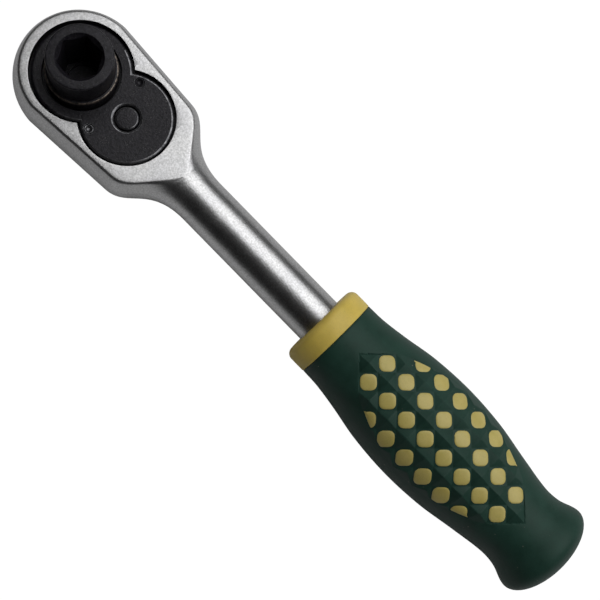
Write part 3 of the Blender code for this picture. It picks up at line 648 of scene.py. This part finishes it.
def make_body(material, dark):
    """The steel body. The walls and the floor of its recess take the black oxide as painted shade."""
    body = body_blank()
    above = FACE_Z + 2 * MM
    below = BODY_LOW.z - 2 * MM
    ledge = PLATE_LOW.z - GAP
    outline = two_lobes(RECESS_DRIVE_RADIUS, RECESS_PIVOT_RADIUS)
    combine(body, prism("recess", outline, ledge, above), "DIFFERENCE")
    combine(body, cylinder("hub_bore", HUB_RADIUS + GAP, below, ledge + 0.1 * MM), "DIFFERENCE")
    bevel(body, RECESS_EDGE, 3, 50 * DEGREE)
    shade(body, 30 * DEGREE)
    weight_normals(body)
    dress(body, "body", "satin_steel", material, "forged_body")
    # painted shade: the recess's walls and floor are made black to stand in for the shadow in the gap
    # round the plate
    body.data.materials.append(dark)
    for face in body.data.polygons:
        x, y, z = face.center
        in_drive_lobe = math.hypot(x, y) < RECESS_DRIVE_RADIUS + FLUSH
        in_pivot_lobe = math.hypot(x - PIVOT_X, y) < RECESS_PIVOT_RADIUS + FLUSH
        in_depth = ledge - 0.1 * MM < z < FACE_Z - 1.2 * RECESS_EDGE
        if in_depth and (in_drive_lobe or in_pivot_lobe):
            face.material_index = 1


# ------------------------------------------------------------------------- plate and pins


def rolled_edge(width, depth, steps=6):
    """(distance in from the edge, drop) along a parabola that starts level with a flat top."""
    shares = [i / steps for i in range(steps + 1)]
    return [(width * (1 - t), depth * t * t) for t in shares]


def plate_blank():
    """The plate before its holes are cut, its top edge rolled over."""
    levels = [(inset, PLATE_Z - drop) for inset, drop in rolled_edge(PLATE_EDGE, PLATE_EDGE_DEPTH)]
    shape = bmesh.new()
    rings = []
    for inset, z in levels + [(0.0, PLATE_LOW.z)]:
        gap = PLATE_GAP + inset
        outline = two_lobes(RECESS_DRIVE_RADIUS - gap, RECESS_PIVOT_RADIUS - gap)
        rings.append([shape.verts.new((p.x, p.y, z)) for p in outline])
    shape.faces.new(rings[0])
    shape.faces.new(rings[-1][::-1])
    for upper, lower in zip(rings, rings[1:]):
        bridge(shape, lower, upper)
    return finish_mesh("plate", shape)


def make_plate(material, edge_highlight):
    """The black plate, with a painted highlight on its edges and hole rims towards the handle."""
    plate = plate_blank()
    above = PLATE_Z + 1 * MM
    below = PLATE_LOW.z - 1 * MM
    holes = (  # (x, y, radius, width and depth of the rounded rim)
        (0.0, 0.0, PLATE_DRIVE_HOLE, DRIVE_HOLE_EDGE, DRIVE_HOLE_EDGE),
        (PIVOT_X, 0.0, PLATE_PIVOT_HOLE, PIVOT_HOLE_EDGE, PLATE_EDGE_DEPTH),
        (PIN_X, PIN_Y, PIN_RADIUS, PIN_HOLE_EDGE, PIN_HOLE_EDGE),
        (PIN_X, -PIN_Y, PIN_RADIUS, PIN_HOLE_EDGE, PIN_HOLE_EDGE),
    )
    for x, y, radius, width, depth in holes:
        rim = [(radius + out, PLATE_Z + OVERCUT - drop) for out, drop in rolled_edge(width, depth)]
        profile = [(0.0, above), (radius + width, above)] + rim + [(radius, below), (0.0, below)]
        cutter = lathe("hole", profile, 96 if radius > PLATE_PIVOT_HOLE else 48)
        cutter.location = (x, y, 0.0)
        combine(plate, cutter, "DIFFERENCE")
    shade(plate, 35 * DEGREE)
    weight_normals(plate)
    dress(plate, "body", "black_oxide", material, "cover_plate")
    plate.data.materials.append(edge_highlight)
    # painted highlight: rim faces towards the handle take the grey oxide in place of the light they
    # catch
    for face in plate.data.polygons:
        x, y, z = face.center
        on_rim = PLATE_Z - PLATE_EDGE_DEPTH < z < PLATE_Z - OVERCUT
        beside_drive = math.hypot(x, y) < PLATE_DRIVE_HOLE + 2 * DRIVE_HOLE_EDGE
        if on_rim and x > HIGHLIGHT_FROM_X and not beside_drive:
            face.material_index = 1


def make_pins(material, edge_highlight):
    """Two pins with dished heads, sunk a little below the plate's face. One carries a painted
    highlight.
    """
    shank_radius = PIN_RADIUS - 0.04 * MM
    for node, side in (("cover_pin_left", 1), ("cover_pin_right", -1)):
        low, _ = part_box(node)
        corners = [
            (0.0, PLATE_Z - 0.55 * MM, 0.0),
            (PIN_RADIUS * 0.35, PLATE_Z - 0.5 * MM, 0.2 * MM),
            (PIN_RADIUS * 0.8, PLATE_Z - 0.12 * MM, 0.1 * MM),
            (shank_radius, PLATE_Z - 0.16 * MM, 0.05 * MM),
            (shank_radius, low.z, 0.0),
            (0.0, low.z, 0.0),
        ]
        pin = lathe(node + "_head", rounded(corners, 4), 40)
        pin.location = (PIN_X, side * PIN_Y, 0.0)
        shade(pin)
        # painted highlight: the pin on the -Y side takes the grey oxide to show the glint in its dish
        dress(pin, "body", "black_oxide", material if side > 0 else edge_highlight, node)


# ------------------------------------------------------------------------------ spindle


def make_spindle(material, edge_highlight, wall):
    """The boss with its hex socket, the collar at its foot and the hub under the plate."""
    corners = [
        (0.0, BOSS_Z, 0.0),
        (BOSS_RADIUS, BOSS_Z, BOSS_EDGE),
        (BOSS_RADIUS, COLLAR_TOP_Z, COLLAR_EDGE),
        (COLLAR_RADIUS, COLLAR_TOP_Z, COLLAR_EDGE),
        (COLLAR_RADIUS, PLATE_LOW.z, 0.0),
        (HUB_RADIUS, HUB_TOP_Z, 0.0),
        (HUB_RADIUS, SPINDLE_LOW.z, BOSS_EDGE),
        (0.0, SPINDLE_LOW.z, 0.0),
    ]
    spindle = lathe("spindle", rounded(corners), SPINDLE_SIDES)
    above = BOSS_Z + 1 * MM
    overlap = 0.05 * MM
    slope = (SOCKET_MOUTH_RADIUS - HEX_ACROSS_FLATS / 2) / SOCKET_LEAD_IN
    lead_in = cylinder(
        "lead_in",
        HEX_ACROSS_FLATS / 2 - overlap,
        BOSS_Z - SOCKET_LEAD_IN - overlap,
        above,
        SPINDLE_SIDES,
        SOCKET_MOUTH_RADIUS + slope * (above - BOSS_Z),
    )
    lead_in.rotation_euler.z = math.pi / SPINDLE_SIDES  # its corners fall between the spindle's
    hexagon = [
        Vector((math.cos(a), math.sin(a))) * (HEX_ACROSS_FLATS / math.sqrt(3))
        for a in (60 * DEGREE * i for i in range(6))
    ]
    combine(spindle, lead_in, "DIFFERENCE")
    combine(spindle, prism("hex", hexagon, SOCKET_FLOOR_Z, above), "DIFFERENCE")
    magnet_bore = cylinder("magnet_bore", MAGNET_BORE_RADIUS, MAGNET_LOW_Z - GAP, 0.0, 48)
    combine(spindle, magnet_bore, "DIFFERENCE")
    shade(spindle, 30 * DEGREE)
    weight_normals(spindle)
    dress(spindle, "drive", "black_oxide", material, "drive_spindle")
    spindle.data.materials.append(edge_highlight)
    spindle.data.materials.append(wall)
    # painted shade: the boss's side wall takes a less shiny copy of the oxide to look darker
    for face in spindle.data.polygons:
        x, y, z = face.center
        radius = math.hypot(x, y)
        # the collar's top edge: brown wear and a painted highlight
        if radius > COLLAR_RADIUS - COLLAR_WEAR_AND_HIGHLIGHT and z > COLLAR_TOP_Z - COLLAR_EDGE:
            face.material_index = 1
        elif abs(radius - BOSS_RADIUS) < 0.05 * MM and z < BOSS_WALL_TOP_Z:
            face.material_index = 2


# -------------------------------------------------------------------------------- lever


def make_lever(material, edge_highlight):
    """The thumb lever on the back and its shaft, whose round end shows in the plate."""
    front = BODY_LOW.z - GAP
    back = front - LEVER_THICKNESS
    corners = [
        (0.0, STUD_Z, 0.0),
        (STUD_RADIUS, STUD_Z, STUD_EDGE),
        (STUD_RADIUS, front, 0.0),
        (LEVER_HUB_RADIUS, front, 0.2 * MM),
        (LEVER_HUB_RADIUS, back, 0.7 * MM),
        (0.0, back, 0.0),
    ]
    lever = lathe("lever", rounded(corners), 96)
    edge = 90 * DEGREE - math.asin((ARM_ROOT_HALF_WIDTH - ARM_TIP_RADIUS) / ARM_LENGTH)
    outline = arc(ARM_LENGTH, ARM_TIP_RADIUS, -edge, edge, 40)
    outline += [Vector((0.0, ARM_ROOT_HALF_WIDTH)), Vector((0.0, -ARM_ROOT_HALF_WIDTH))]
    arm_back = back + 0.2 * MM
    arm = prism("arm", outline, arm_back, front - 0.1 * MM)
    bevel(arm, 0.45 * MM, 4)
    combine(lever, arm, "UNION")
    for index in range(RIDGE_COUNT):
        x = ARM_LENGTH + (index - (RIDGE_COUNT - 1) / 2) * RIDGE_PITCH
        shape = bmesh.new()
        bmesh.ops.create_cube(shape, size=1.0)
        bmesh.ops.scale(shape, verts=shape.verts, vec=RIDGE_SIZE)
        bmesh.ops.translate(shape, verts=shape.verts, vec=(x, 0.0, arm_back))
        ridge = finish_mesh("ridge", shape)
        bevel(ridge, 0.18 * MM)
        combine(lever, ridge, "UNION")
    lever.location = (PIVOT_X, 0.0, 0.0)
    lever.rotation_euler = (0.0, 0.0, LEVER_REST_ANGLE)
    shade(lever, 30 * DEGREE)
    weight_normals(lever)
    dress(lever, "lever", "black_oxide", material, "reversing_lever")
    lever.data.materials.append(edge_highlight)
    # painted highlight: the stud's rounded top edge takes the grey oxide
    for face in lever.data.polygons:
        if STUD_Z - STUD_HIGHLIGHT < face.center.z < STUD_Z - FLUSH:
            face.material_index = 1


# --------------------------------------------------------------------------------- grip


def grip_radius(x):
    """The sleeve's radius at a distance along the handle, as a smooth curve and a round end."""
    last_x, last_radius = GRIP_STATIONS[-1]
    if x >= last_x:
        share = min(1.0, (x - last_x) / (GRIP_END_X - last_x))
        return last_radius * math.sqrt(1 - share * share)
    x = max(x, GRIP_START_X)
    index = max(i for i, (station, _) in enumerate(GRIP_STATIONS[:-1]) if station <= x)
    x0, y0 = GRIP_STATIONS[max(index - 1, 0)]
    x1, y1 = GRIP_STATIONS[index]
    x2, y2 = GRIP_STATIONS[index + 1]
    x3, y3 = GRIP_STATIONS[min(index + 2, len(GRIP_STATIONS) - 1)]
    slope1 = (y2 - y0) / (x2 - x0)
    slope2 = (y3 - y1) / (x3 - x1) if index + 2 < len(GRIP_STATIONS) else 0.0
    t = (x - x1) / (x2 - x1)
    width = x2 - x1
    ease = t * t * (3 - 2 * t)
    start = t * (1 - t) ** 2 * width * slope1
    end = -t * t * (1 - t) * width * slope2
    return y1 + (y2 - y1) * ease + start + end


def panel_half_width(x):
    """The panel's outline is a long leaf. Negative beyond its two points."""
    share = (x - PANEL_X) / PANEL_HALF_LENGTH
    return PANEL_HALF_WIDTH * (1 - share * share)


def in_panel(x, y):
    """Whether a cell with this centre belongs to the panel."""
    half_width = panel_half_width(x)
    return half_width > DOT_PITCH / 2 and abs(y) < CELL_REACH * half_width


def cell_of(x, y):
    """The panel's cells are squares standing on a corner. Gives the cell's centre, whether it
    holds a dot, and how far the point is from its centre, 0 to 1 at its edge."""
    u = (x - PANEL_X) / DOT_PITCH
    v = y / (2 * DOT_ROW_OFFSET)
    a, b = u + v, u - v
    i, j = math.floor(a + 0.5), math.floor(b + 0.5)
    centre_x = PANEL_X + (i + j) / 2 * DOT_PITCH
    centre_y = (i - j) * DOT_ROW_OFFSET
    reach = 2 * max(abs(a - i), abs(b - j))
    return centre_x, centre_y, (i + j) % 2 == 1, reach


def floor_depth(x, y):
    """The floor between the pyramids is flatter than the grip: deepest in the panel's middle, and
    level with the skin all along the panel's outline."""
    half_width = max(panel_half_width(x), FLUSH)
    across = min(1.0, abs(y) / half_width)
    return FLOOR_DEPTH * half_width / PANEL_HALF_WIDTH * (1 - across**3)


def groove(x, y):
    """How far the sleeve's skin lies below the grip's round form at a point of the panel. The
    pyramids get lower towards the outline."""
    margin = panel_half_width(x) - abs(y)
    if margin <= 0.0:
        return 0.0
    centre_x, centre_y, dot, reach = cell_of(x, y)
    if not in_panel(centre_x, centre_y):
        return 0.0
    pyramid = 0.0 if dot else min(PYRAMID_HEIGHT * (1 - reach), EDGE_SLOPE * margin)
    return floor_depth(x, y) - pyramid


def sleeve_places():
    """Where the sleeve's rings lie along the handle: close together over the panels."""
    panel_start = PANEL_X - PANEL_HALF_LENGTH
    panel_end = PANEL_X + PANEL_HALF_LENGTH
    last_x = GRIP_STATIONS[-1][0]
    panel_pitch = 0.16 * MM
    count = round((panel_end - panel_start) / panel_pitch)
    end_steps = 16
    places = [GRIP_START_X + 0.02 * MM, GRIP_START_X + 0.12 * MM]
    places += [GRIP_START_X + (panel_start - GRIP_START_X) * i / 3 for i in range(1, 3)]
    places += [panel_start + (panel_end - panel_start) * i / count for i in range(count + 1)]
    places += [panel_end + (last_x - panel_end) * i / 10 for i in range(1, 11)]
    for i in range(1, end_steps):
        places.append(last_x + (GRIP_END_X - last_x) * math.sin(90 * DEGREE * i / end_steps))
    return places


def sleeve_turns():
    """Where a ring's points lie round the handle: close together over the two panels."""
    fine = 62 * DEGREE
    gap = 180 * DEGREE - 2 * fine
    fine_steps, coarse_steps = 118, 14
    turns = []
    for middle in (90 * DEGREE, 270 * DEGREE):
        turns += [middle - fine + 2 * fine * i / fine_steps for i in range(fine_steps + 1)]
        turns += [middle + fine + gap * i / coarse_steps for i in range(1, coarse_steps)]
    return turns


def make_sleeve(material):
    """A skin of rings along the handle. Over the panels it follows the floor and the pyramids."""
    places = sleeve_places()
    turns = sleeve_turns()
    size = len(turns)
    roll = Matrix.Rotation(PANEL_ROLL, 3, "X")
    shape = bmesh.new()
    rings = []
    grooved = set()
    for x in places:
        radius = grip_radius(x)
        if x == places[0]:
            radius -= 0.1 * MM  # breaks the front edge
        ring = []
        for turn in turns:
            across = radius * math.cos(turn)
            depth = groove(x, across)
            height = radius * math.sin(turn) - math.copysign(1.0, math.sin(turn)) * depth
            vertex = shape.verts.new(roll @ Vector((x, across, height)))
            if depth:
                grooved.add(vertex)
            ring.append(vertex)
        rings.append(ring)
    bottom_x = places[0] + SLEEVE_MOUTH_DEPTH
    mouth = [(SLEEVE_MOUTH_RADIUS * math.cos(a), SLEEVE_MOUTH_RADIUS * math.sin(a)) for a in turns]
    for x in (places[0], bottom_x):
        rings.insert(0, [shape.verts.new((x, y, z)) for y, z in mouth])
    tip = shape.verts.new((GRIP_END_X, 0.0, 0.0))
    plug = shape.verts.new((bottom_x, 0.0, 0.0))
    for first, second in zip(rings, rings[1:]):
        for i in range(size):
            j = (i + 1) % size
            face = shape.faces.new((first[i], second[i], second[j], first[j]))
            face.smooth = not any(v in grooved for v in face.verts)
    for i in range(size):
        j = (i + 1) % size
        shape.faces.new((rings[-1][i], tip, rings[-1][j])).smooth = True
        shape.faces.new((rings[0][j], plug, rings[0][i]))
    sleeve = finish_mesh("sleeve", shape)
    return dress(sleeve, "body", "green_rubber", material, "grip_sleeve")


def dot_loop(centre_x, centre_y, inset, count=32):
    """A rounded square standing on a corner, cut off at the panel's edge, as evenly spaced points."""
    corner_radius = DOT_CORNER - 0.6 * inset
    flat = DOT_SIDE / 2 - inset - corner_radius
    steps = 6
    points = []
    for quarter in range(4):
        middle = 90 * DEGREE * quarter
        corner = Vector((flat, flat))
        corner.rotate(Matrix.Rotation(middle - 45 * DEGREE, 2))
        for i in range(steps + 1):
            turn = middle + (i / steps - 0.5) * 90 * DEGREE
            offset = Vector((math.cos(turn), math.sin(turn))) * corner_radius
            place = Vector((centre_x, centre_y)) + corner + offset
            limit = panel_half_width(place.x) - DOT_MARGIN - inset
            place.y = max(-limit, min(limit, place.y))
            points.append(place)
    lengths = [(points[(i + 1) % len(points)] - point).length for i, point in enumerate(points)]
    step = sum(lengths) / count
    even = []
    travelled = 0.0
    for i, point in enumerate(points):
        following = points[(i + 1) % len(points)]
        while len(even) < count and len(even) * step < travelled + lengths[i]:
            even.append(point.lerp(following, (len(even) * step - travelled) / lengths[i]))
        travelled += lengths[i]
    return even


def add_dot(shape, centre_x, centre_y, side):
    """A peg of the core that fills one window of the sleeve, its end following the grip's form."""
    roll = Matrix.Rotation(PANEL_ROLL, 3, "X")

    def vertex(place, sink):
        radius = grip_radius(place.x)
        height = math.sqrt(max(radius**2 - place.y**2, 0.0))
        sink += floor_depth(place.x, place.y) - DOT_PROUD
        return shape.verts.new(roll @ Vector((place.x, side * place.y, side * (height - sink))))

    rings = []
    for inset, sink in DOT_RINGS:
        loop = dot_loop(centre_x, centre_y, inset * MM)
        rings.append([vertex(place, sink * MM) for place in loop])
    middle = sum(loop, Vector((0.0, 0.0))) / len(loop)
    for share in (0.66, 0.33):
        rings.append([vertex(middle.lerp(place, share), -0.03 * MM) for place in loop])
    centre = vertex(middle, -0.04 * MM)
    for first, second in zip(rings, rings[1:]):
        bridge(shape, first, second)
    last = rings[-1]
    for i in range(len(last)):
        shape.faces.new((last[i], last[(i + 1) % len(last)], centre))
    shape.faces.new(rings[0][::-1])


def make_core(material, scuffed):
    """The collar in front of the sleeve, and the pegs in the sleeve's windows, whose ends are
    scuffed paler by the hand."""
    bore_radius = SHANK_RADIUS + 0.12 * MM
    lip_end = GRIP_START_X + CORE_LIP_LENGTH
    corners = [
        (CORE_LIP_RADIUS, lip_end, 0.0),
        (CORE_LIP_RADIUS, GRIP_START_X, 0.0),
        (CORE_COLLAR_RADIUS, GRIP_START_X, 0.12 * MM),
        (CORE_COLLAR_RADIUS, COLLAR_START_X, CORE_COLLAR_EDGE),
        (bore_radius, COLLAR_START_X, 0.25 * MM),
        (bore_radius, lip_end, 0.0),
    ]
    collar = lathe("collar", rounded(corners, 8), 128, closed=True, along_x=True)
    shape = bmesh.new()
    shape.from_mesh(collar.data)
    bpy.data.objects.remove(collar, do_unlink=True)
    for row in (-3, -1, 1, 3):
        for column in range(-6, 6):
            x = PANEL_X + (column + 0.5) * DOT_PITCH
            y = row * DOT_ROW_OFFSET
            if in_panel(x, y):
                for side in (1, -1):
                    add_dot(shape, x, y, side)
    core = finish_mesh("core", shape)
    shade(core, 40 * DEGREE)
    dress(core, "body", "yellow_plastic", material, "grip_core")
    core.data.materials.append(scuffed)
    for face in core.data.polygons:
        if face.center.x > lip_end + FLUSH:
            face.material_index = 1


# --------------------------------------------------------------------- stage and camera


def make_floor():
    """A pale table top. The camera sees it nearly white, and the tool is lit by it only softly."""
    shape = bmesh.new()
    bmesh.ops.create_grid(shape, x_segments=1, y_segments=1, size=2.0)
    floor = finish_mesh("floor", shape)
    floor.location = (50 * MM, 0.0, SLEEVE_LOW.z - TABLE_GAP)
    material = bpy.data.materials.new("floor")
    material.use_nodes = True
    tree = material.node_tree
    paper = tree.nodes["Principled BSDF"]
    paper.inputs["Base Color"].default_value = (0.85, 0.85, 0.85, 1.0)
    paper.inputs["Roughness"].default_value = 0.9
    glow = tree.nodes.new("ShaderNodeEmission")
    glow.inputs["Strength"].default_value = TABLE_GLOW
    share = tree.nodes.new("ShaderNodeMath")
    share.operation = "MULTIPLY"
    share.inputs[1].default_value = TABLE_GLOW_SHARE
    mix = tree.nodes.new("ShaderNodeMixShader")
    rays = tree.nodes.new("ShaderNodeLightPath")
    tree.links.new(rays.outputs["Is Camera Ray"], share.inputs[0])
    tree.links.new(share.outputs["Value"], mix.inputs["Fac"])
    tree.links.new(paper.outputs["BSDF"], mix.inputs[1])
    tree.links.new(glow.outputs["Emission"], mix.inputs[2])
    tree.links.new(mix.outputs["Shader"], tree.nodes["Material Output"].inputs["Surface"])
    floor.data.materials.append(material)


def view_axes():
    """The camera's right, up and back directions, as the tool is seen."""
    along = Vector((1.0, 0.0, 0.0))
    across = Vector((0.0, math.cos(CAMERA_TILT), math.sin(CAMERA_TILT)))
    back = Vector((0.0, -math.sin(CAMERA_TILT), math.cos(CAMERA_TILT)))
    right = math.cos(CAMERA_TURN) * along + math.sin(CAMERA_TURN) * across
    up = -math.sin(CAMERA_TURN) * along + math.cos(CAMERA_TURN) * across
    return right, up, back


def make_camera():
    right, up, back = view_axes()
    camera = bpy.data.objects.new("camera", bpy.data.cameras.new("camera"))
    camera.data.lens = CAMERA_LENS
    camera.data.sensor_width = 36.0
    camera.data.clip_start = 0.01
    rotation = Matrix((right, up, back)).transposed().to_4x4()
    camera.matrix_world = Matrix.Translation(CAMERA_TARGET + back * CAMERA_DISTANCE) @ rotation
    bpy.context.scene.collection.objects.link(camera)
    bpy.context.scene.camera = camera


def add_softbox():
    """One soft light over the tool's +Y side, its long side along the handle."""
    _, _, back = view_axes()
    along = Vector((1.0, 0.0, 0.0))
    direction = math.cos(SOFTBOX_ANGLE) * back + math.sin(SOFTBOX_ANGLE) * back.cross(along)
    light = bpy.data.lights.new("softbox", "AREA")
    light.shape = "RECTANGLE"
    light.size = SOFTBOX_LENGTH
    light.size_y = SOFTBOX_WIDTH
    light.energy = SOFTBOX_POWER
    obj = bpy.data.objects.new("softbox", light)
    rotation = Matrix((along, direction.cross(along), direction)).transposed().to_4x4()
    place = Vector((SOFTBOX_MIDDLE_X, 0.0, 0.0)) + direction * SOFTBOX_DISTANCE
    obj.matrix_world = Matrix.Translation(place) @ rotation
    bpy.context.scene.collection.objects.link(obj)


def make_lights():
    """The softbox, and a room that the camera sees white but that hardly lights the tool."""
    world = bpy.data.worlds.new("studio")
    world.use_nodes = True
    background = world.node_tree.nodes["Background"]
    background.inputs["Color"].default_value = (1.0, 1.0, 1.0, 1.0)
    seen = world.node_tree.nodes.new("ShaderNodeMapRange")
    seen.inputs["To Min"].default_value = ROOM_LIGHT
    seen.inputs["To Max"].default_value = 1.0
    rays = world.node_tree.nodes.new("ShaderNodeLightPath")
    world.node_tree.links.new(rays.outputs["Is Camera Ray"], seen.inputs["Value"])
    world.node_tree.links.new(seen.outputs["Result"], background.inputs["Strength"])
    bpy.context.scene.world = world
    add_softbox()
    bpy.context.scene.view_settings.view_transform = "Standard"


# --------------------------------------------------------------------------------- build

STEEL = satin_steel()
BLACK = black_oxide("black_oxide", 0.27)
# a less shiny copy of the oxide, painted shade for the boss's side wall
SHADED_OXIDE = black_oxide("shaded_oxide", 0.12)
# brown edge oxide, partly wear and partly painted highlight
WEAR_AND_HIGHLIGHT = wear_and_highlight_oxide()
# grey oxide that paints highlights on the plate's rims, the stud's edge and one pin
HIGHLIGHT_OXIDE = painted_highlight_oxide()
BRIGHT = bright_steel()
YELLOW = yellow_plastic(
    "yellow_plastic", (0.68, 0.51, 0.1), (0.77, 0.58, 0.13), (0.46, 0.34, 0.08), 0.3
)
PALE = yellow_plastic(
    "pale_plastic", (0.51, 0.425, 0.115), (0.60, 0.50, 0.165), (0.38, 0.32, 0.09), 0.45
)
GREEN = green_rubber()

make_body(STEEL, BLACK)
make_plate(BLACK, HIGHLIGHT_OXIDE)
make_pins(BLACK, HIGHLIGHT_OXIDE)
make_spindle(BLACK, WEAR_AND_HIGHLIGHT, SHADED_OXIDE)
make_lever(BLACK, HIGHLIGHT_OXIDE)
make_sleeve(GREEN)
make_core(YELLOW, PALE)
KEPT = {  # CAD pieces that stay, with their material
    # painted shade: the magnet takes the black oxide so the socket's floor reads dark
    "bit_magnet": BLACK,
    "friction_washer": BRIGHT,
    "pawl": BRIGHT,
    "retaining_clip": BRIGHT,
    "detent_ball": BRIGHT,
    "detent_spring": BRIGHT,
}
for kept, finish in KEPT.items():
    node = frame["nodes"][kept]
    node.data.materials.clear()
    node.data.materials.append(finish)

make_floor()
make_camera()
make_lights()
